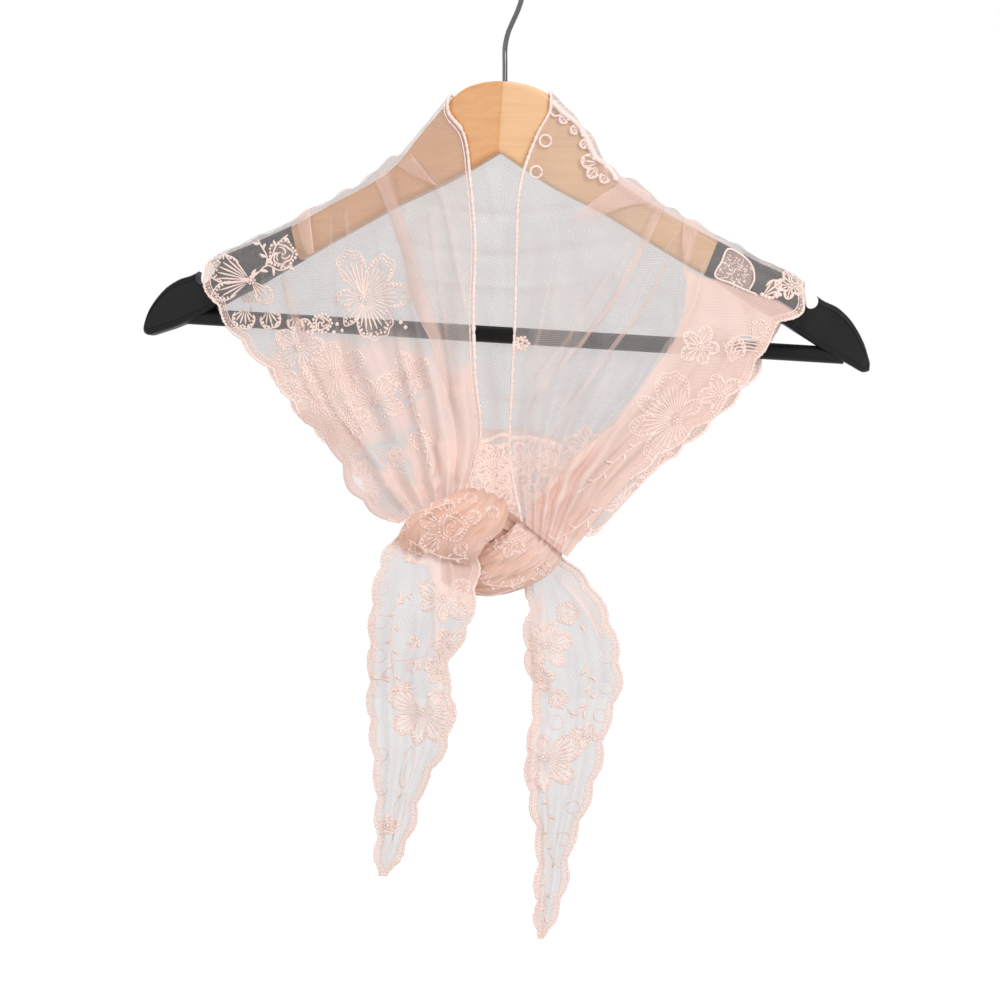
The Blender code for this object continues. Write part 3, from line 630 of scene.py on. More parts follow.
# rows in millimetres; folds: across the panel, half-width there, height in millimetres, where it starts and
# where it is full
# a front's rows: inner edge x, y, z and outer edge x, y, z
leftFront = {
    "side": -1,
    "smoothFrom": 2.0,
    "rows": inMetres((
        (-26, 2, -99, -184, 62, -197), (-21, 0, -130, -168, 60, -221), (-18, -3, -168, -145, 52, -245),
        (-19, -5, -207, -129, 42, -268), (-18, -6, -248, -107, 30, -290), (-15, -6, -290, -89, 17, -324),
        (-24, -5, -320, -66, 7, -340),
    )),
    "folds": (
        (0.1, 0.05, 5, 0.2, 0.75), (0.27, 0.055, 7.8, 0.02, 0.55), (0.42, 0.048, 5.8, 0.06, 0.7),
        (0.6, 0.055, 6.8, 0.02, 0.6), (0.78, 0.048, 5.2, 0.15, 0.8),
    ),
    "columns": 150,
    "length": 210,
}
rightFront = {
    "side": 1,
    "smoothFrom": 0.66,
    "rows": inMetres((
        (19.8, -9, -102, 180, -8.5, -203), (10, -9.5, -130, 164, -8, -220),
        (7, -9.5, -173, 152, -6.5, -243), (6, -9.5, -215, 126, -6, -273), (4, -10, -257, 90.5, -6, -301),
        (3, -10.5, -300, 62, -7, -330), (10, -11, -339, 38, -10, -361),
    )),
    "folds": (
        (0.13, 0.05, 5, 0.18, 0.75), (0.29, 0.045, 5.5, 0.05, 0.6), (0.43, 0.042, 5.6, 0.03, 0.55),
        (0.57, 0.046, 6.6, 0.03, 0.65), (0.71, 0.046, 7, 0.08, 0.7), (0.87, 0.046, 4.2, 0.35, 0.85),
    ),
    "columns": 150,
    "length": 210,
}
# left x and z, middle z, right x and z
backPanel = {
    "rows": inMetres((
        (-184, -197, -122, 180, -203), (-168, -222, -172, 165, -221), (-145, -247, -219, 154, -247),
        (-128.5, -271, -264, 126, -277), (-106, -293, -308, 93, -308), (-76, -333, -350, 60, -344),
    )),
    "folds": (
        (0.16, 0.04, 5, 0.1, 0.6), (0.3, 0.035, 6, 0.1, 0.7), (0.43, 0.03, 4.5, 0.3, 0.9),
        (0.57, 0.03, 4.5, 0.3, 0.9), (0.7, 0.035, 6, 0.1, 0.7), (0.84, 0.04, 5, 0.1, 0.6),
    ),
    "columns": 200,
    "length": 190,
}
# a tail's rows: left x and z, right x and z, depth at its left edge, middle and right edge
leftTail = {
    "rows": inMetres((
        (-64, -346.5, -17.5, -357, -9.2, -12.8, -13.6), (-73.5, -361, -18, -371, -9.2, -13.4, -15),
        (-78.5, -381, -20, -387, -7, -15, -14.5), (-81, -404, -24.5, -406, -5, -15, -11),
        (-81.5, -430, -37, -429, -3, -12, -7), (-82, -456, -32.5, -453, -1, -9, -4),
        (-79.5, -481, -38, -478, 0, -7, -2), (-77.5, -506, -51.5, -503, 1, -4, 0),
        (-77.5, -531, -58.5, -529, 1, -2, 1), (-77.5, -556, -72, -556.5, 1.5, 0, 1.5),
    )),
    "folds": (
        (0.24, 0.07, 4.5, 0.06, 0.25), (0.5, 0.075, -4.5, 0.06, 0.3), (0.76, 0.07, 4.5, 0.06, 0.25),
    ),
    "scallops": 9,
    "columns": 70,
    "length": 230,
}
rightTail = {
    "rows": inMetres((
        (11.8, -372.5, 34.5, -360.9, 7, 7, 7), (16.5, -388, 47.5, -373.5, 6.2, 4.5, 6.2),
        (14, -408, 60.5, -394, 5.5, 0, 6), (15, -426, 68, -418, 5, -1.5, 6.5),
        (20, -445, 69.5, -440, 5, -0.8, 7), (18, -466, 62, -464, 5, 0, 7), (14.5, -488, 57, -489, 4, 1, 6),
        (18, -513, 49.5, -513, 4, 1, 5), (21.5, -539, 40, -538, 4, 1.5, 4),
        (20.5, -568, 35, -567, 4, 3, 4), (20.3, -595, 24, -595.5, 4, 4, 4),
    )),
    "folds": (
        (0.2, 0.07, 4, 0.02, 0.2), (0.47, 0.075, -3.5, 0.02, 0.25), (0.74, 0.07, 4, 0.02, 0.25),
    ),
    "scallops": 10,
    "columns": 70,
    "length": 230,
}
# bumps of the cloth where it turns over the arm, in millimetres: place along the arm, half-width, height
shoulderBumps = {
    -1: inMetres(((74.5, 6.5, 6.6), (86, 5, 3), (103, 5, 2.2), (126, 6, 2.8), (160, 6, 1.4))),
    1: inMetres((
        (33, 5, 1.2), (44, 5, 3.6), (56, 5.5, 6.2), (70, 4, 2.6), (85, 7, 6), (94.5, 4, 3), (110, 4, 2),
        (124, 5, 2.8), (150, 5, 1.8),
    )),
}


def foldsHeight(folds, across, down, width):
    height = 0.0
    for place, half, most, starts, full in folds:
        grown = ease((down - starts) / (full - starts))
        peak = np.sign(most) * np.minimum(abs(most) / 1000, lay["foldToWidth"] * width)
        height = height + peak * grown * np.exp(-(((across - place) / half) ** 2))
    return height


def scallopsOut(share, count):
    return scallop["depth"] * np.abs(np.sin(math.pi * count * share))


def downShares(rows):
    turn = np.linspace(0, lay["turnShare"], lay["turnRows"], endpoint=False)
    return np.concatenate([turn, np.linspace(lay["turnShare"], 1, rows - lay["turnRows"])])


def armReach(along):
    ends = (hanger["woodEnd"] - lay["stepRun"], hanger["woodEnd"])
    return np.interp(along, ends, (woodShape["thick"], capShape["thick"])) / 2 + lay["faceCover"]


def overTheArm(side, along, facing, offTop=0.0, dip=0.0):
    # points from the top of the arm down its face
    rake = hanger["rake"] if along < hanger["rakeEnds"] else hanger["tipRake"]
    normal = np.array([-facing * side * math.sin(rake), facing * math.cos(rake), 0]) @ hangerPlace[:3, :3].T
    top = armTop(side, along)
    way = []
    for lean, drop in lay["overArm"]:
        lean += offTop * (1 - lean)
        place = top + normal * max(lean * armReach(along), lay["seam"])
        way.append(place + np.array([0, 0, lay["cover"] - drop - dip]))
    return way


def bumpedTurn(grid, downs, sides, alongs):
    # small gathers that stand up where the cloth turns over the arm
    rise = np.zeros(grid.shape[1])
    for side, bumps in shoulderBumps.items():
        for place, half, height in bumps:
            rise += (sides == side) * height * np.exp(-(((alongs - place) / half) ** 2))
    grid[..., 2] += rise[None] * (1 - ease(downs / lay["bumpsEnd"]))[:, None]
    return grid


def swing(side, border, down, smoothFrom=2.0):
    # scallops of a side edge; below smoothFrom the edge is a plain fold
    below = np.maximum(down - lay["turnShare"], 0) / (1 - lay["turnShare"])
    out = scallopsOut(below, scallop["perSide"]) * border * ease(below / lay["turnShare"])
    out = out * (1 - ease((down - smoothFrom) / scallop["fade"]))
    return np.stack([side * out * scallop["out"], 0 * out, -out * scallop["down"]], axis=-1)


def frontGrid(panel):
    side, rows = panel["side"], panel["rows"]
    acrosses, downs = np.linspace(0, 1, panel["columns"]), downShares(panel["length"])
    neck, shoulder = lay["neckAlong"][side], lay["shoulderAlong"][side]
    alongs = neck + acrosses * (shoulder - neck)
    columns = []
    for across, along in zip(acrosses, alongs):
        way = overTheArm(side, along, -1)
        places = rows[:, :3] + across * (rows[:, 3:] - rows[:, :3])
        places[0, 2] = min(places[0, 2], way[0][2] - lay["faceDrop"])
        columns.append(smoothThrough(way + list(places), downs))
    grid = np.stack(columns, axis=1)
    topWidth, lowWidth = np.abs(rows[[0, -1], 3] - rows[[0, -1], 0])
    down, across = downs[:, None], acrosses[None]
    grid[..., 1] -= foldsHeight(panel["folds"], across, down, topWidth + down * (lowWidth - topWidth))
    border = ease((across - scallop["from"]) / (1 - scallop["from"]))
    grid = grid + swing(side, border, down, panel["smoothFrom"])
    return bumpedTurn(grid, downs, side, alongs)


def backDepth(x, z):
    # how far back the cloth hangs: on the arm's face, and from there to the bar
    side = np.where(x < 0, -1, 1)
    angle = hanger["rake"] + side * hanger["yaw"]
    along = np.abs(x) / np.cos(angle)
    onArm = armTop(side, along)[..., 1] + armReach(along) / np.cos(angle)
    flat = np.zeros_like(x)
    bar = onHanger(np.stack([x, flat + hanger["barDepth"], flat + hanger["barHeight"]], axis=-1))
    low = onHanger(np.stack([x, flat, armEdge(side, along, 2)], axis=-1))
    leaves = low[..., 2] + lay["leavesArm"]
    meets = bar[..., 2] + hanger["barRadius"] + lay["meetsBar"]
    share = ease((leaves - z) / np.maximum(leaves - meets, lay["shortestRun"]))
    return onArm + share * (bar[..., 1] + lay["backRest"] - onArm)


def neckTurn(side, along):
    # where the back's top edge lies behind the hub: its place, how far off the top, and its dip
    neck = lay["neckAlong"][side]
    crossing = lay["neckCrosses"] * neck
    offTop = min(max((neck - along) / (neck - crossing), 0), 1)
    inner = max(crossing - along, 0) / crossing
    place = max(along, neck * (1 - inner))
    dip = armTop(side, place)[2] - armTop(side, max(place, neck))[2] + lay["neckDip"] * float(ease(inner))
    return place, offTop, dip


def backGrid(panel):
    rows = panel["rows"]
    acrosses, downs = np.linspace(0, 1, panel["columns"]), downShares(panel["length"])
    positions = 2 * acrosses - 1
    positions = positions * (lay["columnsClose"] + (1 - lay["columnsClose"]) * np.abs(positions))
    sides = np.where(positions < 0, -1, 1)
    alongs = np.abs(positions) * np.where(sides < 0, lay["shoulderAlong"][-1], lay["shoulderAlong"][1])
    free = downs > lay["hangsFree"]
    columns = []
    for side, along, out in zip(sides.tolist(), alongs, np.abs(positions)):
        place, offTop, dip = neckTurn(side, along)
        way = overTheArm(side, place, 1, offTop, dip)
        edgeX, edgeZ = rows[:, :2].T if side < 0 else rows[:, 3:].T
        x, z = out * edgeX, rows[:, 2] + (edgeZ - rows[:, 2]) * out ** lay["rowSags"]
        z[0] = min(z[0], way[0][2] - lay["faceDrop"])
        column = smoothThrough(way + list(np.stack([x, backDepth(x, z), z], axis=1)), downs)
        column[free, 1] = np.maximum(column[free, 1], backDepth(column[free, 0], column[free, 2]))
        columns.append(column)
    grid = np.stack(columns, axis=1)
    topWidth, lowWidth = rows[[0, -1], 3] - rows[[0, -1], 0]
    down, across = downs[:, None], acrosses[None]
    grid[..., 1] += foldsHeight(panel["folds"], across, down, topWidth + down * (lowWidth - topWidth))
    border = ease((np.abs(positions[None]) - scallop["from"]) / (1 - scallop["from"]))
    grid += np.where(positions[None, :, None] < 0, swing(-1, border, down),
                     swing(1, border, down, rightFront["smoothFrom"]))
    hem = ease((down - scallop["hemFrom"]) / (1 - scallop["hemFrom"]))
    grid[..., 2] -= scallopsOut(across, scallop["perHem"]) * hem
    return bumpedTurn(grid, downs, sides, alongs)


def tailGrid(panel):
    leftX, leftZ, rightX, rightZ, leftY, middleY, rightY = panel["rows"].T
    acrosses, downs = np.linspace(0, 1, panel["columns"]), np.linspace(0, 1, panel["length"])
    columns = []
    for across in acrosses:
        middle = 1 - (2 * across - 1) ** 2
        depth = leftY + across * (rightY - leftY) + middle * (middleY - (leftY + rightY) / 2)
        x, z = leftX + across * (rightX - leftX), leftZ + across * (rightZ - leftZ)
        columns.append(smoothThrough(np.stack([x, depth, z], axis=1), downs))
    grid = np.stack(columns, axis=1)
    widths = np.interp(downs, np.linspace(0, 1, len(leftX)), rightX - leftX)[:, None]
    grid[..., 1] -= foldsHeight(panel["folds"], acrosses[None], downs[:, None], widths)
    fade = ease(downs / scallop["endFade"]) * ease((1 - downs) / scallop["endFade"])
    edge = (2 * acrosses[None] - 1) ** 3
    grid[..., 0] += edge * scallop["out"] * (scallopsOut(downs, panel["scallops"]) * fade)[:, None]
    return grid


# creases: fine folds, each a drawn line with its half-width and height in
# millimetres and the net that it adds

def seenFrom(grid):
    # places on the drawing plane, in millimetres, of points of the cloth
    scale = -eye.y / (grid[..., 1] - eye.y)
    x = eye.x + (grid[..., 0] - eye.x) * scale
    z = eye.z + (grid[..., 2] - eye.z) * scale
    return np.stack([x, z], axis=-1) * 1000


creasing = {"step": 4.0, "taper": 0.12, "denseShare": 0.45}  # their net is denser over a part of their width
unevenness = {"waves": 26, "slant": 0.5, "flatter": 0.6, "lengths": (9, 34)}
folding = {
    "step": 1.3,
    "off": 0.0004,  # over the panel
    "rimLayers": 1.6,
    "rimWide": 0.9,
    "leastTone": 0.55,
}


def nearLine(places, line):
    # distance of each place from a drawn line, and its share along the line
    line = np.asarray(line, float)
    starts = lengthsAlong(line)
    best = np.full(places.shape[:-1], 1e9)
    share = np.zeros(places.shape[:-1])
    for k, (a, b) in enumerate(zip(line, line[1:])):
        way = b - a
        if not way.any():
            continue
        t = np.clip(((places - a) @ way) / (way @ way), 0, 1)
        gap = np.linalg.norm(places - a - t[..., None] * way, axis=-1)
        nearer = gap < best
        best = np.where(nearer, gap, best)
        share = np.where(nearer, (starts[k] + t * np.linalg.norm(way)) / starts[-1], share)
    return best, share


def gridNormals(grid, facing):
    normals = unit(np.cross(np.gradient(grid, axis=1), np.gradient(grid, axis=0)))
    middle = normals[len(grid) // 2, grid.shape[1] // 2]
    return normals if middle[1] * facing > 0 else -normals


def creased(grid, facing, creases):
    # the grid moved by its creases, and the cover that they add
    normals, places = gridNormals(grid, facing), seenFrom(grid)
    lift, added = np.zeros((2, *grid.shape[:2]))
    for line, half, height, layers in creases:
        gap, share = nearLine(places, resample(line, creasing["step"]))
        taper = ease(share / creasing["taper"]) * ease((1 - share) / creasing["taper"])
        lift += height / 1000 * taper * np.exp(-((gap / half) ** 2))
        added += layers * taper * np.exp(-((gap / (creasing["denseShare"] * half)) ** 2))
    return grid + normals * lift[..., None], added


def crinkled(grid, facing, amount, seed):
    # small soft unevenness, a sum of slanting waves
    waves = np.random.default_rng(seed)
    places = seenFrom(grid)
    height = np.zeros(grid.shape[:2])
    count, slant = unevenness["waves"], unevenness["slant"]
    for _ in range(count):
        angle, length = waves.uniform(-slant, slant), waves.uniform(*unevenness["lengths"])
        way = np.array([math.cos(angle), math.sin(angle) * unevenness["flatter"]]) * 2 * math.pi / length
        height += np.cos(places @ way + waves.uniform(0, 6.28)) / count ** 0.5
    return grid + gridNormals(grid, facing) * (amount * height)[..., None]


def layersAt(grid, gather, added, base):
    # layers of net: gathered rows and steep flanks hide more
    widths = np.linalg.norm(np.diff(grid, axis=1), axis=2).sum(axis=1)
    gathered = (widths.max() / widths) ** gather
    steep = 1 - np.abs(gridNormals(grid, -1)[..., 1])
    return base * gathered[:, None] * (1 + net["flankDenser"] * steep) + added


def quadsOf(grid):
    index = np.arange(grid[..., 0].size).reshape(grid.shape[:2])
    return np.stack([index[:-1, :-1], index[1:, :-1], index[1:, 1:], index[:-1, 1:]], axis=-1).reshape(-1, 4)


def treeOf(grid):
    return BVHTree.FromPolygons(grid.reshape(-1, 3).tolist(), quadsOf(grid).tolist())


def clothMesh(name, sheets):
    # one mesh of several grids of points, each with its cover, tone and place on the flat net
    points, faces, covers, tones, flats = [], [], [], [], []
    count = 0
    for grid, cover, tone, flat in sheets:
        points.append(grid.reshape(-1, 3))
        faces.append(quadsOf(grid) + count)
        covers.append(np.broadcast_to(cover, grid.shape[:2]).reshape(-1))
        tones.append(np.broadcast_to(tone, grid.shape[:2]).reshape(-1))
        flats.append(flat.reshape(-1, 2))
        count += len(points[-1])
    points, faces, covers, tones, flats = map(np.concatenate, (points, faces, covers, tones, flats))
    mesh = bpy.data.meshes.new(name)
    mesh.from_pydata(points.tolist(), [], faces.tolist())
    for title, values in (("cover", np.clip(covers, 0, 0.985)), ("tone", np.clip(tones, 0, 1))):
        attribute = mesh.attributes.new(title, "FLOAT", "POINT")
        attribute.data.foreach_set("value", values.astype(np.float32))
    layer = mesh.uv_layers.new(name="netting")
    layer.data.foreach_set("uv", flats[faces.reshape(-1)].astype(np.float32).reshape(-1))
    mesh.update()
    return mesh


def flatOf(grid, width, length):
    rows, columns = grid.shape[:2]
    across, down = np.meshgrid(np.linspace(0, width, columns), np.linspace(0, length, rows))
    return np.stack([across, down], axis=-1)


def dropOn(tree, x, z):
    # where a drawn place falls on the cloth, with the normal there towards the viewer
    way = (Vector((x / 1000, 0, z / 1000)) - eye).normalized()
    place, normal, _, _ = tree.ray_cast(eye, way)
    if place is None:
        return None
    return np.array(place), np.array(-normal if normal.dot(way) > 0 else normal)


def insideOf(places, outline, soft):
    # 1 inside a drawn outline, 0 outside, over a soft edge
    outline = np.concatenate([outline, outline[:1]])
    lowest, highest = outline.min(axis=0) - 2 * soft, outline.max(axis=0) + 2 * soft
    near = np.all((places > lowest) & (places < highest), axis=-1)
    share = np.zeros(places.shape[:-1])
    some = places[near]
    if not len(some):
        return share
    inside = np.zeros(len(some), bool)
    for (ax, az), (bx, bz) in zip(outline, outline[1:]):
        crosses = (az > some[:, 1]) != (bz > some[:, 1])
        inside ^= crosses & (some[:, 0] < (bx - ax) * (some[:, 1] - az) / (bz - az + 1e-12) + ax)
    gap, _ = nearLine(some, outline)
    share[near] = ease(0.5 + np.where(inside, gap, -gap) / (2 * soft))
    return share


def fadeIn(share, over):
    return float(ease(share / over)) if over else 1.0


def layBetween(tree, first, second, layers, fades, lift):
    # more net over a panel, between two drawn lines; fades: how much of it fades out at its start, its end,
    # its first and its second side. A side that doesn't fade has a denser rim
    long = max(np.linalg.norm(np.diff(line, axis=0), axis=1).sum() for line in (first, second))
    wide = max(math.dist(first[0], second[0]), math.dist(first[len(first) // 2], second[len(second) // 2]))
    downs = np.linspace(0, 1, max(int(long / folding["step"]), 6))
    acrosses = np.linspace(0, 1, max(int(wide / folding["step"]), 7))
    grid, covers = [], []
    for down, left, right in zip(downs, smoothThrough(first, downs), smoothThrough(second, downs)):
        row = [dropOn(tree, *(left + share * (right - left))) for share in acrosses]
        if any(hit is None for hit in row):
            continue
        here = fadeIn(down, fades[0]) * fadeIn(1 - down, fades[1])
        cover = np.full(len(acrosses), layers * here)
        for share, fade in ((acrosses, fades[2]), (1 - acrosses, fades[3])):
            if fade:
                cover = cover * ease(share / fade)
            else:
                rim = np.exp(-((share * wide / folding["rimWide"]) ** 2))
                cover = cover + folding["rimLayers"] * here * rim
        rise = lift * np.sin(math.pi * acrosses) ** 0.5 * here
        grid.append([place + normal * (folding["off"] + up) for (place, normal), up in zip(row, rise)])
        covers.append(cover)
    if len(grid) < 3:
        return []
    grid, cover = np.array(grid), 1 - (1 - net["single"]) ** np.array(covers)
    tone = folding["leastTone"] + (1 - folding["leastTone"]) * ease(cover / 0.5)
    return [(grid, cover, tone, flatOf(grid, wide / 1000, long / 1000))]


leftCreases = (
    # drawn line, half-width, height, added layers
    (((-57.7, -111.4), (-41.7, -132.2), (-30.7, -172.7), (-21.5, -221.8)), 2.4, 1.6, 0.9),
    (((-98, -136), (-94, -179), (-82, -228), (-63, -277), (-49, -321)), 3.0, 1.8, 0.9),
    (((-107, -142), (-106, -203), (-98, -246), (-82, -289), (-60, -324)), 2.6, -1.5, 0.7),
    (((-136, -160), (-132, -210), (-126, -240), (-107, -277)), 2.8, 1.6, 0.8),
    (((-46, -142), (-40, -191), (-33, -240), (-29, -277)), 3.2, 1.5, 0.7),
    (((-84, -150), (-75, -200), (-64, -250), (-50, -300)), 2.2, -1.2, 0.6),
    (((-60, -180), (-52, -225), (-42, -262), (-38, -310)), 2.2, 1.4, 0.6),
    (((-150, -180), (-143, -215), (-128, -250)), 2.4, 1.2, 0.5),
    (((-28, -254), (-28, -283), (-29, -316)), 5.5, 2.2, 3.2),
    (((-118, -235), (-104, -268), (-86, -292), (-62, -318)), 2.6, 1.8, 1.2),
    (((-48, -290), (-44, -306), (-52, -322)), 2.0, 1.6, 1.4),
    (((-40, -288), (-37, -304), (-44, -322)), 1.8, 1.4, 1.2),
)
leftFolds = (
    # first line, second line, layers, fades, lift
    # the fold that runs from the shoulder down to the knot
    (((-79, -122), (-79, -130), (-75, -140), (-72, -149), (-63, -175), (-56, -205), (-52, -216), (-47, -226),
      (-41, -244), (-34, -264), (-31, -283)),
     ((-68, -119), (-67, -127), (-64, -140), (-60, -151), (-52, -175), (-45, -203), (-40, -216), (-36, -226),
      (-33, -244), (-29, -264), (-27, -283)), 2.4, (0, 0.3, 0, 0.45), 0.0012),
    # a corner of it, turned towards the neck
    (((-71, -117), (-64, -121.5), (-57, -126.5), (-50, -130), (-42, -133.2)),
     ((-59, -111.5), (-55, -116.5), (-50, -122.5), (-45, -129), (-41, -133)), 2.2, (0.25, 0, 0, 0), 0.0010),
    # the small one near the moulded end
    (((-128, -154), (-126, -162), (-124, -169), (-121, -176)),
     ((-120, -147), (-119, -156), (-118, -165), (-117, -174)), 2.2, (0, 0, 0, 0), 0.0010),
    (((-139, -186), (-136, -197), (-133, -208), (-128, -222), (-124, -236)),
     ((-131, -182), (-129, -194), (-126, -207), (-121, -221), (-117, -235)), 1.3, (0.2, 0.3, 0, 0.5), 0.0010),
)
rightCreases = (
    (((97, -147), (69, -201), (44, -232), (12, -270)), 2.2, 1.6, 1.2),
    (((100, -173), (89, -188), (74, -221), (65, -234), (34, -277), (10, -308)), 2.2, 1.6, 1.2),
    (((115, -161), (109, -188), (105, -222)), 2.4, 1.4, 0.9),
    (((109, -157), (97, -175)), 1.6, 1.2, 0.9),
    (((82, -158), (58, -197), (37, -228), (15, -259)), 2.0, -1.3, 0.9),
    (((127, -170), (123, -180), (114, -210), (98, -234), (84, -257), (63, -283), (46, -302), (26, -319),
      (9, -335)), 2.2, 1.8, 1.4),
    (((163, -222), (141, -262), (114, -289), (83, -318), (58, -338), (40, -350)), 3.0, 1.8, 0.9),
    (((150, -215), (130, -250), (104, -278), (76, -306), (48, -332), (30, -345)), 2.6, -1.6, 0.5),
    (((135, -205), (116, -243), (90, -272), (64, -297), (38, -322), (18, -340)), 2.6, 1.6, 0.7),
    (((34, -160), (25, -203), (18, -234), (9, -252)), 2.2, 1.2, 0.6),
    (((52, -160), (46, -205), (34, -240), (18, -268), (10, -290)), 2.2, -1.2, 0.5),
    (((87, -316), (76, -331), (57, -350), (37, -365)), 1.8, 1.6, 1.6),
)
rightFolds = (
    # the broad double stretch over the wood
    (((66, -124), (69, -132), (61, -137.5), (52, -144), (30, -160)),
     ((93, -140), (91, -143.5), (79, -146), (63, -151), (46, -166)), 3.0, (0, 0.6, 0, 0.15), 0.0014),
    # the narrow light fold from the shoulder across the bar, and the one beside it
    (((93, -142), (86, -158), (79, -173), (72, -187), (66, -201), (58, -213), (50, -223), (43, -233),
      (33, -246)),
     ((98, -146), (92, -159), (85, -173), (77, -187), (69, -202), (61, -214), (52.5, -224), (46, -233),
      (36, -246)), 1.8, (0, 0.2, 0.3, 0), 0.0010),
    (((103, -162), (97, -180), (90, -197), (81, -212), (71, -224), (64, -233), (52, -250)),
     ((106, -164), (100, -180), (93, -197), (84, -212), (74, -224), (67, -233), (55, -250)), 1.2,
     (0.3, 0.3, 0, 0), 0.0008),
    (((110, -153), (109, -162), (109, -172), (110, -183)),
     ((119, -157), (117, -165), (115, -173), (113, -183)), 2.4, (0, 0.2, 0, 0), 0.0010),
)
backCreases = (
    (((-60, -140), (-30, -148), (0, -151), (30, -147), (62, -140)), 3.0, 1.6, 0.5),
    (((-80, -165), (-40, -172), (5, -176), (45, -171), (85, -166)), 3.2, 1.8, 0.6),
    (((-70, -188), (-30, -193), (10, -196), (60, -190)), 2.6, -1.4, 0.5),
    (((-100, -205), (-50, -222), (0, -230), (50, -226), (100, -212)), 3.2, 1.5, 0.5),
    (((-50, -250), (-15, -262), (20, -264), (60, -252)), 3.2, 1.6, 0.6),
    (((-17, -286), (2, -284), (18, -286), (36, -292)), 3.0, 2.6, 3.0),
    (((-120, -230), (-90, -270), (-60, -310)), 3.4, 1.6, 0.5),
    (((120, -232), (95, -270), (66, -312)), 3.4, 1.6, 0.5),
)
leftTailCreases = (
    (((-46, -355), (-42, -385), (-41, -410), (-40, -440), (-42, -470)), 3.0, 2.0, 1.6),
    (((-36, -352), (-31, -378), (-29, -400)), 2.2, 1.6, 1.2),
    (((-78, -372), (-80, -420), (-79, -470), (-77, -520)), 1.8, 1.0, 0.8),
    (((-66, -390), (-68, -430), (-66, -470)), 1.8, -1.2, 0.4),
    (((-60, -480), (-62, -510), (-70, -540)), 2.0, 1.2, 0.5),
    (((-52, -360), (-56, -385), (-58, -420)), 2.0, 1.4, 0.5),
)
rightTailCreases = (
    (((16, -392), (20, -420), (17, -470), (16, -520), (19, -560), (21, -588)), 3.0, 1.8, 1.8),
    (((30, -372), (48, -392), (58, -418), (60, -440)), 2.4, 1.6, 0.8),
    (((28, -376), (36, -400), (40, -430)), 2.2, 1.4, 0.5),
    (((44, -450), (40, -490), (32, -530)), 2.0, -1.2, 0.3),
    (((24, -500), (27, -540), (24, -575)), 1.8, 1.0, 0.4),
)
# stretches where the net lies in more layers: outline, soft edge, layers
leftDense = (
    (((-71, -151), (-56, -205), (-47, -226), (-33, -264), (-19, -252), (-18, -203), (-18, -152), (-23, -124),
      (-40, -133), (-62, -148)), 2.0, 0.7),
    (((-64, -326), (-74, -311), (-63, -299), (-46, -277), (-33, -250), (-21, -245), (-18, -265), (-14, -288),
      (-17, -308), (-25, -324), (-46, -327)), 8.0, 3.2),
    (((-78, -291), (-66, -292), (-57, -303), (-54, -318), (-64, -310), (-73, -300)), 1.6, -2.6),
    (((-149, -243), (-138, -227), (-107, -230), (-64, -226), (-40, -240), (-33, -265), (-64, -285),
      (-80, -289), (-104, -295), (-120, -280), (-132, -262)), 9.0, 2.1),
    (((-146, -243), (-135, -238), (-118, -262), (-106, -280), (-110, -287), (-125, -270)), 4.0, 1.6),
    (((-126, -225), (-98, -225), (-80, -265), (-74, -289), (-101, -289), (-115, -271)), 5.0, 0.9),
    # where the net is gathered over the arm
    (((-62, -112), (-79, -117), (-100, -133), (-123, -146), (-140, -157), (-138, -161), (-120, -151),
      (-100, -139), (-80, -124), (-64, -118)), 1.5, 0.9),
    # thinner places near the knot
    (((-141, -235), (-126, -231), (-117, -240), (-120, -252), (-132, -249)), 3.0, -2.6),
    (((-84, -266), (-74, -266), (-72, -277), (-82, -279)), 2.6, -1.9),
    (((-73, -256), (-58, -254), (-49, -262), (-61, -270), (-72, -266)), 2.6, -1.7),
    (((-45, -268), (-35, -270), (-34, -278), (-42, -277)), 2.2, -1.6),
    (((-96, -300), (-88, -303), (-76, -318), (-80, -325), (-92, -314)), 2.4, -1.2),
)
rightDense = (
    (((110, -183), (112, -194), (110, -210), (105, -226), (98, -237), (88, -251), (78, -266), (66, -280),
      (52, -292), (37, -305), (25, -321), (14, -335), (9, -351), (21, -367), (37, -362), (58, -343),
      (77, -326), (88, -312), (103, -297), (120, -285), (140, -272), (170, -245), (185, -215),
      (168, -204), (157, -201), (150, -199), (130, -191), (120, -189)), 1.0, 4.9),
    (((46, -166), (63, -151), (93, -142), (70, -190), (50, -222), (25, -260), (10, -262), (20, -200)),
     4.0, 0.5),
    (((137, -172), (129, -188), (139, -193), (150, -198), (153, -183), (145, -174)), 0.8, 1.6),
    # where the net is gathered over the arm, and along the worked edge at the neck
    (((60, -118), (74, -126), (98, -140), (118, -152), (142, -166), (138, -170), (112, -158), (92, -148),
      (74, -138), (62, -130)), 1.2, 1.3),
    (((28, -80), (40, -86), (52, -96), (60, -110), (66, -122), (62, -126), (54, -116), (47, -102), (38, -92),
      (28, -84)), 1.0, 1.2),
    # a shell of openings over the bar
    (((138.7, -234), (141, -227), (149, -224.3), (154.7, -227), (154, -233), (147.3, -236)), 0.8, -4.6),
)
backDense = (
    (((156.5, -240), (155, -256), (141, -271), (123, -284), (112, -289), (107, -308), (83, -323), (77, -314),
      (95, -295), (113, -277), (132, -262), (147, -243)), 2.0, 3.4),
    (((-17, -287), (3, -286), (34, -290), (60, -284), (70, -300), (60, -345), (-70, -345), (-40, -320)),
     3.0, 0.8),
)
leftTailDense = (
    (((-38, -350), (-35, -412), (-37, -455), (-46, -462), (-48, -412), (-43, -380)), 1.6, 1.0),
    (((-82, -340), (-8, -340), (-10, -394), (-24, -394), (-40, -386), (-48, -366), (-68, -358)), 3.0, 3.4),
)
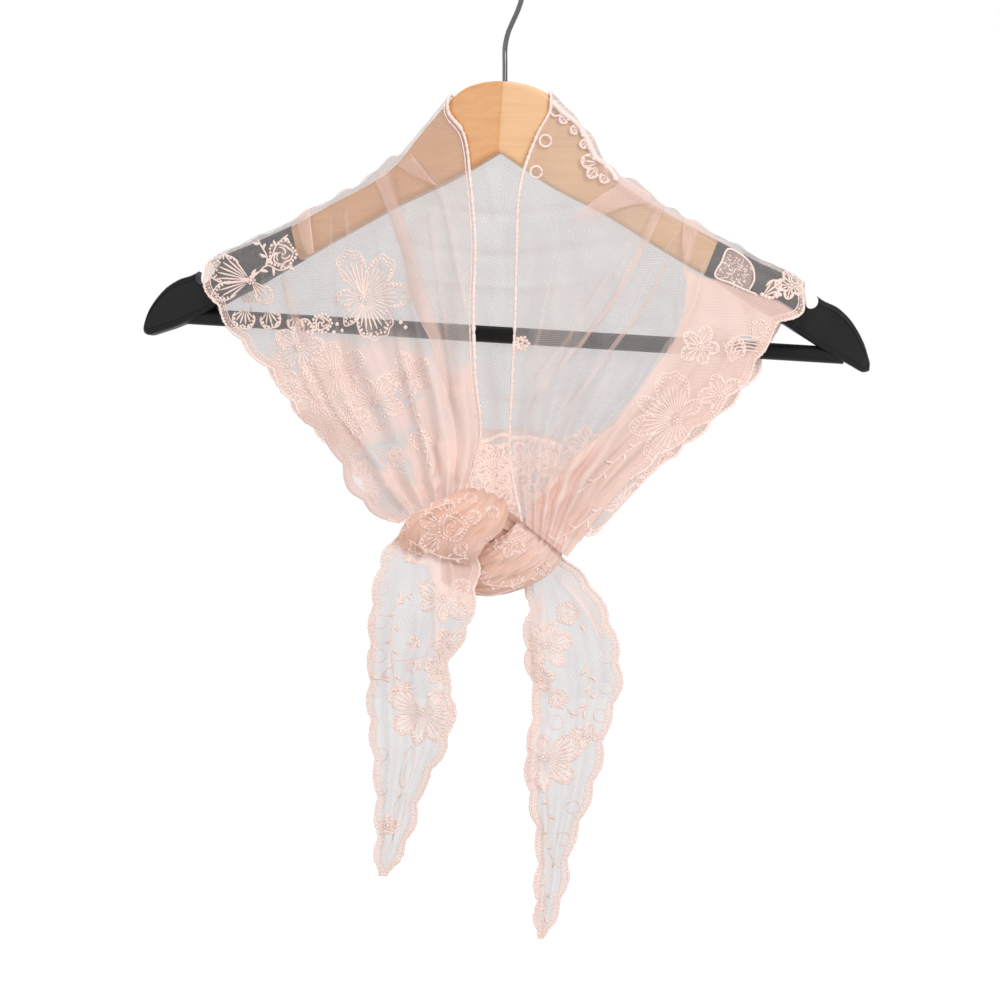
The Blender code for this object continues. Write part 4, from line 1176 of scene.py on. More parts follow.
rightTailDense = (
    (((23, -375), (26, -402), (23, -449), (21, -484), (20, -519), (21, -550), (23, -581), (10, -600),
      (0, -480)), 0.8, 1.5),
    (((37, -366), (56, -389), (65, -407), (58, -411), (48, -394), (30, -372)), 1.6, 1.0),
)


def fromEdge(values, edge):
    # a grid's values turned so that the named edge comes first in each row
    values = values if edge in ("left", "right") else np.swapaxes(values, 0, 1)
    return values[:, ::-1] if edge in ("right", "bottom") else values


def borderBand(grid, edges):
    # 1 along the edges that are named, 0 further in
    band = np.zeros(grid.shape[:2])
    for edge in edges:
        inwards, here = fromEdge(grid, edge), fromEdge(band, edge)
        far = np.cumsum(np.linalg.norm(np.diff(inwards, axis=1, prepend=inwards[:, :1]), axis=2), axis=1)
        here[:] = np.maximum(here, ease((net["borderWide"] - far) / net["borderFade"]))
    return band


def newSkein():
    return {"points": [], "quads": [], "ends": [], "count": 0}


def makeCloth(name, grid, seed, finish, creases, dense, folds=(), edges=("right",), facing=-1, gather=0.6,
              flat=(0.20, 0.26), crinkle=0.0003, layers=1.0, fill=0.8):
    # a stretch of net with its creases, its folds and its layers, ready to be embroidered
    grid, added = creased(crinkled(grid, facing, crinkle, seed), facing, creases)
    places = seenFrom(grid)
    for outline, soft, more in dense:
        added = added + more * insideOf(places, outline, soft)
    added += net["borderLayers"] * borderBand(grid, edges)
    tree = treeOf(grid)
    extra = [sheet for fold in folds for sheet in layBetween(tree, *fold)]
    return {"name": name, "grid": grid, "tree": tree, "facing": facing, "places": places, "extra": extra,
            "layers": layersAt(grid, gather, added, layers), "flat": flat, "finish": finish, "base": layers,
            "fill": fill, "fills": [], "skein": newSkein()}


def finishedSheets(cloth):
    # the panel with its worked petals filled in, and the folds on it
    layers = cloth["layers"].copy()
    pink = np.zeros(layers.shape)
    for outline, more in cloth["fills"]:
        share = insideOf(cloth["places"], outline, net["fillSoft"]) * more
        layers += cloth["fill"] * share
        pink = np.maximum(pink, share * min(net["fillPink"] * cloth["fill"], 1.0))
    cover = 1 - (1 - net["single"]) ** np.maximum(layers, net["leastLayers"])
    tone = np.maximum(ease((layers - cloth["base"]) / net["pinkAt"]), pink)
    return [(cloth["grid"], cover, tone, flatOf(cloth["grid"], *cloth["flat"]))] + cloth["extra"]


# painted shade: the back and the ends get more layers of net and its greyer colour
shaded = {"layers": net["shaded"], "finish": shadedNet}
hanging = {"edges": ("left", "right"), "gather": 0.1, "flat": (0.07, 0.23), "crinkle": 0.0002, "fill": 1.0}
leftCloth = makeCloth("front_left_net", frontGrid(leftFront), 3, frontNet, leftCreases, leftDense, leftFolds)
rightCloth = makeCloth("front_right_net", frontGrid(rightFront), 4, frontNet, rightCreases, rightDense,
                       rightFolds, flat=(0.20, 0.28))
backCloth = makeCloth("back_net", backGrid(backPanel), 5, creases=backCreases, dense=backDense, facing=1,
                      edges=("left", "right", "bottom"), gather=0.25, flat=(0.42, 0.26), fill=1.8, **shaded)
leftTailCloth = makeCloth("tail_left_net", tailGrid(leftTail), 6, creases=leftTailCreases,
                          dense=leftTailDense, **shaded, **hanging)
rightTailCloth = makeCloth("tail_right_net", tailGrid(rightTail), 7, creases=rightTailCreases,
                           dense=rightTailDense, **shaded, **hanging)
print("panels laid")


# folded-over stretches of the panels: where the fold starts and ends across the panel, its edge, top and low
# end down the panel, and its depth off the panel
borderFold = {"foldTop": 0.94, "foldLow": 0.70, "edge": 0.99, "top": 0.56, "low": 0.97, "depth": -0.0030,
              "layers": 1.6, "rows": 120, "columns": 40}
turnedUnder = {"foldTop": 0.80, "foldLow": 0.55, "edge": 0.98, "top": 0.26, "low": 0.95, "depth": 0.0034,
               "layers": 3.0, "rows": 150, "columns": 60}
folded = {"flat": (0.06, 0.14), "roll": 0.0012, "tone": 0.75}


def gridAt(cloth, panel, across, down):
    # points of a panel's grid at shares across and down
    downs = downShares(panel["length"])
    rowPlace = np.interp(down, downs, np.arange(len(downs)))
    columnPlace = across * (panel["columns"] - 1)
    i = np.clip(rowPlace.astype(int), 0, len(downs) - 2)
    j = np.clip(columnPlace.astype(int), 0, panel["columns"] - 2)
    u, v = (columnPlace - j)[..., None], (rowPlace - i)[..., None]
    grid = cloth["grid"]
    top = grid[i, j] * (1 - u) + grid[i, j + 1] * u
    low = grid[i + 1, j] * (1 - u) + grid[i + 1, j + 1] * u
    return top * (1 - v) + low * v


def foldedOver(cloth, panel, fold):
    # a sheet off the panel, rolled over at its edge to meet it
    downs = np.linspace(0, 1, fold["rows"])[:, None]
    shares = np.linspace(0, 1, fold["columns"])[None]
    starts = fold["foldTop"] + downs * (fold["foldLow"] - fold["foldTop"])
    down = fold["top"] + downs * (fold["low"] - fold["top"]) + 0 * shares
    grid = gridAt(cloth, panel, starts + shares * (fold["edge"] - starts), down)
    grid[..., 1] += fold["depth"]
    edge, rim = grid[:, -1], gridAt(cloth, panel, np.ones(downs.shape), down[:, :1])[:, 0]
    rolled = []
    for turn in np.linspace(0, math.pi, 7)[1:]:
        out = (panel["side"] * folded["roll"] * math.sin(turn), 0, 0)
        rolled.append(edge + (rim - edge) * (1 - math.cos(turn)) / 2 + out)
    grid = np.concatenate([grid, np.stack(rolled, axis=1)], axis=1)
    return grid, 1 - (1 - net["single"]) ** fold["layers"], folded["tone"], flatOf(grid, *folded["flat"])


borderSheet = foldedOver(leftCloth, leftFront, borderFold)
underSheet = foldedOver(rightCloth, rightFront, turnedUnder)


# the knot

# in millimetres at each turn of a strand: upper edge x, y, z, lower edge x, y, z and thickness
knotStrands = {
    "knot_left_strand": (
        (-24.3, -6, -321.2, -65.5, 4.5, -341.2, 9), (-19, -1, -324.5, -47, 4, -351, 12),
        (-11, 2.2, -327, -27, 4.5, -355, 16), (1, 3.5, -332, -9, 4.5, -357, 15),
        (12, 4.5, -340, 3, 5, -361, 13), (22, 6, -350, 8, 6.5, -366.5, 9),
        (33, 7, -360.5, 11.5, 7, -372, 5),
    ),
    "knot_right_strand": (
        (10, -5.8, -333.5, 38.5, -5, -356, 4), (5.5, -8.5, -341.5, 32.5, -7, -366.5, 9),
        (0, -10, -347, 24, -8.5, -373.5, 13), (-7.5, -8.5, -351.2, 9, -7, -381, 16),
        (-16.5, -5.6, -354, -6, -5.2, -384.5, 14), (-27, -0.5, -358.5, -21, -0.5, -384, 11),
        (-39, 4, -359, -40, 4, -378, 9),
    ),
    "knot_over_turn": (
        (-18, 17, -348, -6, 17, -348, 5), (-20, 14.5, -331, -3, 15, -335, 6),
        (-21.5, 3, -320.5, -1, 4.5, -327.5, 6), (-33, -13, -323.5, 2, -11.8, -334, 8),
        (-54, -18, -333, -1, -16.5, -343, 10), (-64, -17.2, -344, -13, -20, -355.5, 7),
        (-69, -14.5, -356, -17, -18.8, -368, 3),
    ),
}
pleating = {
    "count": 5,
    "depth": 0.0011,
    "sides": 190,
    "rings": 150,
    "end": 0.012,
    "bluntness": 7,
    "sway": 0.9,
    "sharp": (7, 11, 16, 23, 31),  # sharp drifting pleats over the large ones
    "fine": 0.00075,
    "drift": (-7, 7),
    "wander": 1.4,
    "ridge": 0.7,
    "slant": (-22, 22),
    "crumples": 14,
    "crumple": 0.00016,
}


def strandGrid(turns, seed):
    # a pleated bundle: large pleats as in its solid, with sharp drifting ones and small crumples over them
    waves = np.random.default_rng(seed)
    shares = pleating["end"] + (1 - 2 * pleating["end"]) * np.linspace(0, 1, pleating["rings"])
    around = np.linspace(0, 2 * math.pi, pleating["sides"] + 1)
    upper, lower = smoothThrough(turns[:, :3], shares), smoothThrough(turns[:, 3:6], shares)
    middle = (upper + lower) / 2
    normal = unit(np.cross(upper - lower, np.gradient(middle, axis=0)))
    closing = (1 - np.abs(2 * shares - 1) ** pleating["bluntness"]) ** (1 / pleating["bluntness"])
    thick = np.interp(shares, np.linspace(0, 1, len(turns)), turns[:, 6])
    sway = pleating["sway"] * np.sin(5.0 * shares + waves.uniform(0, 6.28))[:, None]
    pleats = pleating["depth"] * np.cos(pleating["count"] * 2 * around[None] + sway)
    for count in pleating["sharp"]:
        drift = waves.uniform(*pleating["drift"]) * shares
        drift += pleating["wander"] * np.sin(waves.uniform(5, 12) * shares + waves.uniform(0, 6.28))
        swell = 0.5 + 0.5 * np.sin(waves.uniform(5, 13) * shares + waves.uniform(0, 6.28))
        turned = count * around[None] + drift[:, None] + waves.uniform(0, 6.28)
        ridge = 1 - 2 * np.abs(np.sin(turned)) ** pleating["ridge"]
        pleats += pleating["fine"] * swell[:, None] * ridge * 15 / (count + 6)
    for _ in range(pleating["crumples"]):
        slant, pitch = waves.uniform(*pleating["slant"]), waves.integers(2, 14)
        phase = waves.uniform(0, 6.28)
        pleats += pleating["crumple"] * np.cos(slant * shares[:, None] + pitch * around[None] + phase)
    width = np.cos(around)[None] * closing[:, None] / 2
    depth = np.sin(around)[None] * (thick[:, None] / 2 + pleats) * closing[:, None]
    grid = middle[:, None] + (upper - lower)[:, None] * width[..., None] + normal[:, None] * depth[..., None]
    grid[:, -1] = grid[:, 0]
    return grid


def buildKnot():
    made = {}
    for seed, (name, turns) in enumerate(knotStrands.items(), 20):
        grid = strandGrid(inMetres(turns), seed)
        made[name] = {"grid": grid, "tree": treeOf(grid), "fills": [], "skein": newSkein()}
    return made


strands = buildKnot()
print("knot tied")


# embroidery: threads, dots and motifs on the cloth

stitching = {
    "sides": 5,
    "step": 1.1,
    "jump": 0.006,  # a thread stops where the cloth steps further than this
    "tight": 0.8,  # height of most threads
    "dotFlat": 0.62,
}
dotShape = bmesh.new()
bmesh.ops.create_icosphere(dotShape, subdivisions=1, radius=1)
dotPoints = np.array([v.co for v in dotShape.verts])
dotFaces = np.array([[v.index for v in f.verts] for f in dotShape.faces])
dotShape.free()


def addThread(skein, line, normals, widths, heights):
    # a raised thread along points of the cloth, thinner at its ends
    line, normals = np.asarray(line, float), unit(np.asarray(normals, float))
    count, sides = len(line), stitching["sides"]
    if count < 2:
        return
    ahead = unit(np.gradient(line, axis=0))
    across = unit(np.cross(ahead, normals))
    up = np.cross(across, ahead)
    ends = np.full(count, 0.001)
    ends[[0, -1]] *= 0.5
    angles = polar(np.arange(sides) * 2 * math.pi / sides + math.pi / 2)[None]
    ring = (angles[..., :1] * (across * (ends * widths)[:, None])[:, None]
            + angles[..., 1:] * (up * (ends * heights)[:, None])[:, None]) / 2
    index = skein["count"] + np.arange(count * sides).reshape(count, sides)
    first, second = index[:-1], index[1:]
    quads = np.stack([first, second, np.roll(second, -1, axis=1), np.roll(first, -1, axis=1)], axis=-1)
    skein["points"].append((line[:, None] + ring).reshape(-1, 3))
    skein["quads"].append(quads.reshape(-1, 4))
    skein["ends"] += [index[0][::-1].tolist(), index[-1].tolist()]
    skein["count"] += count * sides


def addDot(skein, place, normal, radius):
    normal = normal / np.linalg.norm(normal)
    across = unit(np.cross(normal, [0.12, 0.3, 0.95]))
    axes = np.array([across, np.cross(normal, across), stitching["dotFlat"] * normal])
    skein["points"].append(place + radius / 1000 * dotPoints @ axes)
    skein["ends"] += (dotFaces + skein["count"]).tolist()
    skein["count"] += len(dotPoints)


def skeinMesh(name, skein):
    mesh = bpy.data.meshes.new(name)
    faces = np.concatenate(skein["quads"]).tolist() + skein["ends"]
    mesh.from_pydata(np.concatenate(skein["points"]).tolist(), [], faces)
    mesh.update()
    return mesh


def stitch(cloth, line, width, height=stitching["tight"], step=stitching["step"]):
    # a thread along a drawn line; it stops where there is no cloth. width may be a list along the line
    line = resample(line, step)
    widths = np.interp(np.linspace(0, 1, len(line)), np.linspace(0, 1, np.size(width)), np.atleast_1d(width))
    runs = [[]]
    for at, wide in zip(line, widths):
        hit = dropOn(cloth["tree"], *at)
        if hit is None or (runs[-1] and np.linalg.norm(hit[0] - runs[-1][-1][0]) > stitching["jump"]):
            runs.append([])
        if hit is not None:
            runs[-1].append((*hit, wide))
    for run in runs:
        if len(run) > 1:
            places, normals, widths = zip(*run)
            addThread(cloth["skein"], places, normals, widths, np.minimum(widths, height))


def dot(cloth, at, radius):
    hit = dropOn(cloth["tree"], *at)
    if hit is not None:
        addDot(cloth["skein"], *hit, radius)


def turned(line, at, turn, size=1.0):
    # a drawn line at another place, turned and enlarged
    line = np.asarray(line, float) * size
    c, s = math.cos(math.radians(turn)), math.sin(math.radians(turn))
    return line @ np.array([[c, s], [-s, c]]) + np.asarray(at, float)


def pebbles(cloth, line, step, radius):
    # a row of small knots along a drawn line
    for at in resample(line, step):
        dot(cloth, at, radius * (0.85 + 0.35 * chance.random()))


petalShape = {
    "points": 28,
    "round": 0.27,  # how full the rim is
    "rim": 1.1,
    # rows of knots inside the rim: points left out at its ends, share of the reach, step, radius
    "pebbles": ((2, 0.91, 2.3, 1.05), (5, 0.84, 3.1, 0.75)),
    "ribsApart": 2.9,
    "ribAt": np.array((0.14, 0.35, 0.58, 0.78)),
    "ribWide": (0.5, 1.0, 1.35, 1.1),
    "ribBend": 9,
}


def petal(cloth, at, turn, length, spread, ground=0.9):
    # one fan-shaped petal: a corded, pebbled rim and broad satin ribs from the heart, on a filled ground
    shares = np.linspace(0, 1, petalShape["points"])
    lobes = max(int(spread * length / 420), 2)
    reach = length * np.sin(math.pi * np.clip(shares, 0.02, 0.98)) ** petalShape["round"]
    reach = reach * (1 + 0.03 * np.cos(2 * math.pi * lobes * shares))
    rim = polar(np.radians(turn + spread * (shares - 0.5)), reach)
    cloth["fills"].append((rim + at, ground))
    stitch(cloth, rim + at, petalShape["rim"], step=1.3)
    for out, share, step, radius in petalShape["pebbles"]:
        pebbles(cloth, rim[out:-out] * share + at, step, radius)
    ribs = max(int(math.radians(spread) * length * 0.7 / petalShape["ribsApart"]), 3)
    for k in range(ribs):
        share = (k + 0.8) / (ribs + 0.6)
        angle = math.radians(turn + spread * (share - 0.5))
        bend = math.radians(petalShape["ribBend"] * (share - 0.5))
        far = length * math.sin(math.pi * share) ** petalShape["round"]
        rib = polar(angle + bend * petalShape["ribAt"], far * petalShape["ribAt"])
        stitch(cloth, rib + at, petalShape["ribWide"], step=2.2)


# a flower's petals: turn, spread and share of its size
fivePetals = ((18, 72, 1.0), (90, 70, 0.95), (160, 72, 1.0), (232, 68, 0.88), (304, 70, 0.88))
flowerHeart = {"count": 7, "apart": 51, "reach": 2.1, "small": 1.0, "middle": 1.4}


def flower(cloth, at, size, turn=0, petals=fivePetals, ground=0.9):
    for angle, spread, reach in petals:
        petal(cloth, at, turn + angle, size * reach, spread, ground)
    for k in range(flowerHeart["count"]):
        angle = math.radians(turn + k * flowerHeart["apart"])
        dot(cloth, at + polar(angle, flowerHeart["reach"]), flowerHeart["small"])
    dot(cloth, at, flowerHeart["middle"])


roseShape = {
    "ground": 0.6,
    "ring": 0.93,  # shares of its size
    "cord": 0.68,
    "curls": (0.14, 0.56),
    "sweep": 118,
    "pebbles": (2.2, 1.1),  # their step and radius
}


def rosebud(cloth, at, size, turn=0):
    # a rose from above: a pebbled ring, an uneven cord inside it and three curls with open cells between
    angles = np.linspace(0, 2 * math.pi, 25)
    rim = polar(angles, 1 + 0.08 * np.cos(5 * angles + turn))
    cloth["fills"].append((rim * size + at, roseShape["ground"]))
    pebbles(cloth, rim * size * roseShape["ring"] + at, *roseShape["pebbles"])
    inner = polar(angles, 1 + 0.12 * np.cos(3 * angles + turn) + 0.05 * np.sin(7 * angles))
    stitch(cloth, inner * size * roseShape["cord"] + at, 1.3, 0.9, 1.2)
    for k in range(3):
        sweep = np.radians(turn + 120 * k + np.linspace(0, roseShape["sweep"], 9))
        stitch(cloth, polar(sweep, size * np.linspace(*roseShape["curls"], 9)) + at, 1.1, step=0.9)
    dot(cloth, at, 0.9)


def leaf(cloth, at, length, turn):
    line = turned([(0, 0), (0.5, 0.08), (1, 0)], at, turn, length)
    stitch(cloth, line, (0.4, 1.8, 2.5, 1.8, 0.4), 0.9, length / 7)


def ring(cloth, at, radius, width=0.9):
    stitch(cloth, polar(np.linspace(0, 2 * math.pi, 19), radius) + at, width, 0.7, 1.3)


def oval(cloth, at, wide, high, turn):
    line = polar(np.linspace(0, 2 * math.pi, 24)) * (wide, high)
    stitch(cloth, turned(line, at, turn), 0.8, 0.7)


def sprig(cloth, line, leaves, length=5.0):
    # a stem with a leaf on alternate sides
    stitch(cloth, line, 1.1)
    points = resample(line, 1.0)
    for k in range(leaves):
        i = int((k + 0.6) / leaves * (len(points) - 2))
        way = points[i + 1] - points[i]
        turn = math.degrees(math.atan2(way[1], way[0])) + (52 if k % 2 else -52)
        leaf(cloth, points[i], length * (0.85 + 0.3 * chance.random()), turn)


def lumpyEdge(cloth, line, width, chunk=2.2):
    # a worked edge seen from its side: a thick cord with knots on it
    stitch(cloth, line, width, width * 0.8)
    for at in resample(line, chunk):
        off = 0.5 * width * (chance.random() - 0.5)
        dot(cloth, at + off, 0.42 * width * (0.8 + 0.5 * chance.random()))


def scattered(cloth, corner, along, down, count, length):
    # short stitches in all directions over a slanting patch
    for k in range(count):
        u, v = chance.random(2)
        spot = np.array(corner) + u * np.array(along) + v * np.array(down)
        stitch(cloth, [spot, spot + polar(k * 2.4, length)], 0.8, 0.6, 0.8)


def barStitches(cloth):
    # two rows of short stitches over the bar
    for k in range(7):
        x = 111 + 4.6 * k
        stitch(cloth, [(x, -227 - 0.4 * k), (x + 1.2, -230 - 0.4 * k)], 1.0, 0.7, 0.8)
        stitch(cloth, [(x + 0.5, -233 - 0.3 * k), (x + 3, -233.6 - 0.3 * k)], 0.9, 0.7, 0.8)


def edgeLine(cloth, edge, inset, step):
    # points a step apart along an edge of a cloth's grid, some millimetres inside it, with their normals
    normals = gridNormals(cloth["grid"], cloth["facing"])
    line, ups = [], []
    for row, up in zip(fromEdge(cloth["grid"], edge), fromEdge(normals, edge)):
        far = lengthsAlong(row)
        k = min(int(np.searchsorted(far, inset / 1000, side="right")) - 1, len(row) - 2)
        t = (inset / 1000 - far[k]) / (far[k + 1] - far[k])
        line.append(row[k] + t * (row[k + 1] - row[k]))
        ups.append(up[k])
    far = lengthsAlong(line)
    at = np.linspace(0, far[-1], max(int(far[-1] / (step / 1000)), 2))
    return [np.stack([np.interp(at, far, column) for column in zip(*values)], axis=1)
            for values in (line, ups)]


def keptWithin(line, normals, within):
    # the stretch of a line between two values of x or z: (axis, low, high)
    if within:
        axis, lowest, highest = within
        kept = (line[:, axis] > lowest) & (line[:, axis] < highest)
        line, normals = line[kept], normals[kept]
    return line, normals


def cordEdge(cloth, edge, width, height, inset=0.4, knots=0.12, within=None):
    # a satin-stitched cord along an edge, a little uneven
    line, normals = keptWithin(*edgeLine(cloth, edge, inset, 1.2), within)
    uneven = 1 + knots * chance.standard_normal(len(line)).clip(-1.5, 1.5)
    addThread(cloth["skein"], line, normals, width * uneven, height * uneven)


edging = {
    "outerCord": (1.5, 1.2, 0.4, 0.3),  # width, height, inset and how uneven it is
    "innerCord": (0.7, 0.6, 5.0, 0.2),
    "knots": ((0.9, 2.1, 0.75, 0.35), (3.3, 2.6, 0.45, 0.3)),  # inset, step, least radius, what is added
}


def scallopBorder(cloth, edge, within=None):
    # the finished edge: an outer cord, two rows of knots and a fine cord inside them
    cordEdge(cloth, edge, *edging["outerCord"], within)
    for inset, step, least, more in edging["knots"]:
        for place, up in zip(*keptWithin(*edgeLine(cloth, edge, inset, step), within)):
            addDot(cloth["skein"], place, up, least + more * chance.random())
    cordEdge(cloth, edge, *edging["innerCord"], within)


def borderMotifs(cloth, edge, inset, spacing, size):
    # flowers, buds and leaves in turn, along an edge
    for k, at in enumerate(seenFrom(edgeLine(cloth, edge, inset, spacing)[0])):
        if k % 3 == 0:
            flower(cloth, at, size, 40 * k)
        elif k % 3 == 1:
            rosebud(cloth, at, size * 0.42, 30 * k)
            for turn in (10, 130, 250):
                leaf(cloth, turned((size * 0.5, 0), at, turn + 20 * k), 5, turn + 20 * k)
        else:
            reach = size * 0.8
            sprig(cloth, turned([(-reach, -2), (-reach / 3, 2), (reach / 3, -1), (reach, 3)], at, 35 * k), 6)
            ring(cloth, at + (0, 8), 3.4)


# What is worked on each stretch, in the order of the stitching: a motif, then the values of each one of it.
leftWork = (
    (scallopBorder, ("right",)),
    (cordEdge, ("left", 2.2, 1.7, 0.3, 0.22), ("left", 0.8, 0.7, 3.0, 0.2)),
    # the moulded end's flower, its leaves and its rose
    (flower, ((-155.9, -191.1), 27, 0, ((157, 66, 1.0), (203, 42, 0.94), (312, 60, 0.66)), 0.12)),
    (leaf, *(((-156, -190.5), 7.5, turn) for turn in (172, 188, 40, 62))),
    (rosebud, ((-136.6, -175.2), 8.6)),
    (sprig, (((-147, -183), (-146, -177), (-149, -171), (-152, -166)), 4, 4.5),
     (((-144, -179), (-139, -168), (-133, -163)), 3, 4),
     (((-152, -187), (-146, -182), (-138, -185), (-130, -182)), 5, 5)),
    # the large open flower over the bar
    (flower, ((-86.5, -201.6), 29, 0, ((112, 58, 1.05), (58, 52, 1.0), (4, 54, 0.97), (293, 84, 0.93),
                                       (236, 38, 0.7), (182, 60, 0.6)), 0.3)),
    (leaf, *(((-86, -201), 12, turn) for turn in (70, 95, 120))),
    # shells, a rose and beads along the bar
    (petal, ((-159.5, -208.5), 262, 12.5, 124, 0.1), ((-145.5, -209), 285, 12, 116, 0.1),
     ((-129, -213), 272, 8.5, 130, 0.1)),
    (rosebud, ((-112.3, -217.5), 6)),
    (dot, *((at, 1.5) for at in (
        (-124, -219), (-121, -223), (-103, -218), (-100, -222), (-105, -223), (-64, -217), (-61, -220)))),
    (flower, ((-125.8, -232), 17, 60), ((-104, -248), 20, 15), ((-79, -266), 19, 40), ((-96, -279), 14, 10),
     ((-58, -249), 15, 100), ((-128, -257), 12, 30)),
    (rosebud, ((-113, -268), 6.5), ((-52, -290), 6.5)),
    (sprig, (((-122, -262), (-108, -276), (-98, -290), (-84, -300)), 7),
     (((-58, -262), (-54, -276), (-48, -292), (-48, -308)), 6, 4)),
)
rightWork = (
    (scallopBorder, ("right", (2, -0.314, 0))),
    (cordEdge, ("left", 1.9, 1.5, 0.3, 0.25)),
    # the worked edge at the neck, with rings, fans and loops
    (lumpyEdge, (((28, -81), (31, -83.5), (36, -88.5), (41, -92), (46, -97), (50, -103), (53, -110),
                  (56, -116), (61, -119.5), (66, -124.5), (69, -130)), 3.6)),
    (ring, ((24.9, -105.4), 3.6, 1.5), ((19.2, -124.6), 3.6, 1.4), ((31.5, -87), 3.4, 1.5)),
    (petal, ((58, -119), 172, 11, 84), ((57.5, -121), 228, 9, 80), ((38, -91), 214, 5, 120),
     ((45, -98), 200, 5, 120), ((51, -107), 190, 5, 120), ((63, -126), 232, 6, 120)),
    (ring, *((at, 1.9, 1.2) for at in ((33, -83), (37, -87), (43, -92.5), (48, -98), (52, -104)))),
    (flower, ((106, -276.5), 29, 0, ((100, 76, 1.0), (154, 36, 0.95), (191, 42, 1.03), (232, 44, 1.03),
                                     (284, 56, 0.6), (38, 52, 0.6)))),
    (stitch, *((((138, z - 1.2), (146, z + 0.8), (155.5, z - 0.2)), 1.0, 0.7)
               for z in (-226, -228.2, -230.4, -232.6, -234.8))),
    (petal, ((137, -243), 64, 17, 74), ((158, -201), 38, 14, 62)),
    (flower, ((176, -194), 10, 20)),
    # the closed patch on the moulded end
    (scattered, ((137, -174), (15, -9.5), (-6.5, -14), 90, 1.6)),
    (lumpyEdge, (((155, -200), (150, -198), (139, -193), (129, -188), (133, -180), (137, -172), (146, -176),
                  (152, -183), (153, -191), (150, -197)), 1.3)),
    (pebbles, (((158, -200), (163, -202), (169, -200)), 2.3, 1.4)),
    (barStitches, ()),
    (flower, ((133, -262), 14, 20)),
    (rosebud, ((156, -222), 6.5)),
    (flower, ((120, -232), 13, 50)),
    (sprig, (((112, -300), (122, -286), (132, -276), (146, -262)), 6),
     (((84, -290), (70, -300), (58, -312), (44, -322)), 6, 5),
     (((60, -330), (48, -340), (36, -348), (26, -352)), 5, 5)),
    (rosebud, ((10.5, -230), 4.2)),
)
backWork = (
    (scallopBorder, ("left",), ("right", (2, -0.316, 0)), ("bottom",)),
    (cordEdge, ("top", 2.0, 1.6, 0.3, 0.2, (0, -0.030, 0.028))),
    (borderMotifs, ("bottom", 22, 27, 16), ("bottom", 50, 31, 15),
     ("left", 24, 30, 16), ("right", 24, 30, 16)),
    (lumpyEdge, (((-17, -291), (-9, -289), (-2, -286), (6, -288), (15, -288), (24, -290), (34, -293)), 3.6)),
    (flower, *(((x, z), size, 3 * x) for x, z, size in (
        (-8, -304, 13), (14, -300, 12), (34, -305, 14), (4, -318, 13), (50, -292, 13), (-30, -300, 14),
        (-14, -322, 11), (24, -322, 12)))),
)
tailEdges = (
    (scallopBorder, ("left",), ("right",)),
    (cordEdge, ("bottom", 1.8, 1.4)),
)
leftTailWork = tailEdges + (
    (flower, ((-38, -386), 16.5, 0, ((150, 70, 1.0), (205, 50, 0.9), (30, 60, 1.1), (322, 62, 1.1),
                                     (270, 40, 0.9))),
     ((-50.5, -455.5), 22, 0, ((150, 62, 1.05), (214, 62, 0.95), (260, 40, 0.95), (350, 56, 1.0),
                               (303, 50, 1.0), (46, 50, 0.75)))),
    (ring, *((at, 4.2, 0.8) for at in ((-71.8, -358.7), (-75.5, -379.6), (-76.1, -400.4), (-77.3, -421.3),
                                       (-76.1, -482.1), (-76.1, -502.9)))),
    (sprig, (((-66.9, -391), (-69.5, -410), (-68.5, -430), (-67, -446)), 7, 5),
     (((-66.9, -391), (-63, -386), (-57, -384)), 3, 4)),
    (petal, ((-57, -420), 80, 10, 76), ((-56, -434), 90, 9, 90)),
    (stitch, (((-70, -424), (-60, -424), (-50, -422)), 0.9, 0.7)),
    (leaf, *((at, 7, turn + more) for turn in (20, -15, 60, 160)
             for at, more in (((-76, -436), 0), ((-62, -442), 20)))),
    (oval, ((-60, -490), 3.2, 13, -14), ((-65, -518), 3.2, 13, -14)),
    (rosebud, ((-57, -359), 6)),
    (flower, ((-34, -414), 10, 30), ((-40, -430), 11, 0), ((-72, -526), 7, 0)),
)
rightTailWork = tailEdges + (
    (flower, ((25, -414.6), 16, 0, ((10, 62, 1.05), (70, 50, 0.9), (310, 56, 1.0), (180, 60, 0.8),
                                    (245, 50, 0.9), (125, 50, 0.9))),
     ((23.3, -483.8), 22, 0, ((20, 66, 1.15), (322, 56, 1.05), (170, 60, 0.7), (230, 60, 0.8), (90, 50, 0.6),
                              (272, 44, 0.95)))),
    (rosebud, ((38.7, -395.5), 7)),
    (leaf, ((46, -402), 6, -60)),
    (rosebud, ((33, -448), 6)),
    (ring, ((31.3, -462.4), 4.4, 0.8)),
    (flower, ((50.8, -471.3), 10, 0, ((160, 80, 1.0), (240, 80, 0.8), (80, 80, 0.8), (0, 60, 0.7)))),
    (sprig, (((49.7, -426), (51.6, -444), (49.7, -454), (40, -459.4)), 7, 6)),
    (ring, *((at, 4.0, 0.8) for at in (
        (62, -406), (62.1, -422), (62.1, -441), (58.4, -458.3), (41.7, -514.6), (35.8, -533.9)))),
    (sprig, (((25, -505), (27, -520), (26, -540), (33, -552)), 5, 4),
     (((24, -556), (25, -572), (23, -588)), 4, 4)),
    (flower, ((22, -436), 9, 0)),
)
turnRose = (-32.2, -342.6)
turnWork = (
    (rosebud, (turnRose, 9.2)),
    (petal, *((turned((7.5, 0), turnRose, turn), turn, length, 84)
              for turn, length in ((25, 11), (100, 9), (165, 13), (215, 15), (290, 11))),
     *(((x, z), turn, 8.5, 100) for x, z, turn in (
         (-58, -345, 150), (-54, -354, 250), (-14, -350, 330), (-10, -338, 60), (-22, -330, 80)))),
    (sprig, (((-52, -333), (-44, -331), (-34, -328), (-26, -328)), 6, 4),
     (((-60, -350), (-48, -357), (-34, -362), (-22, -362)), 8, 4)),
)
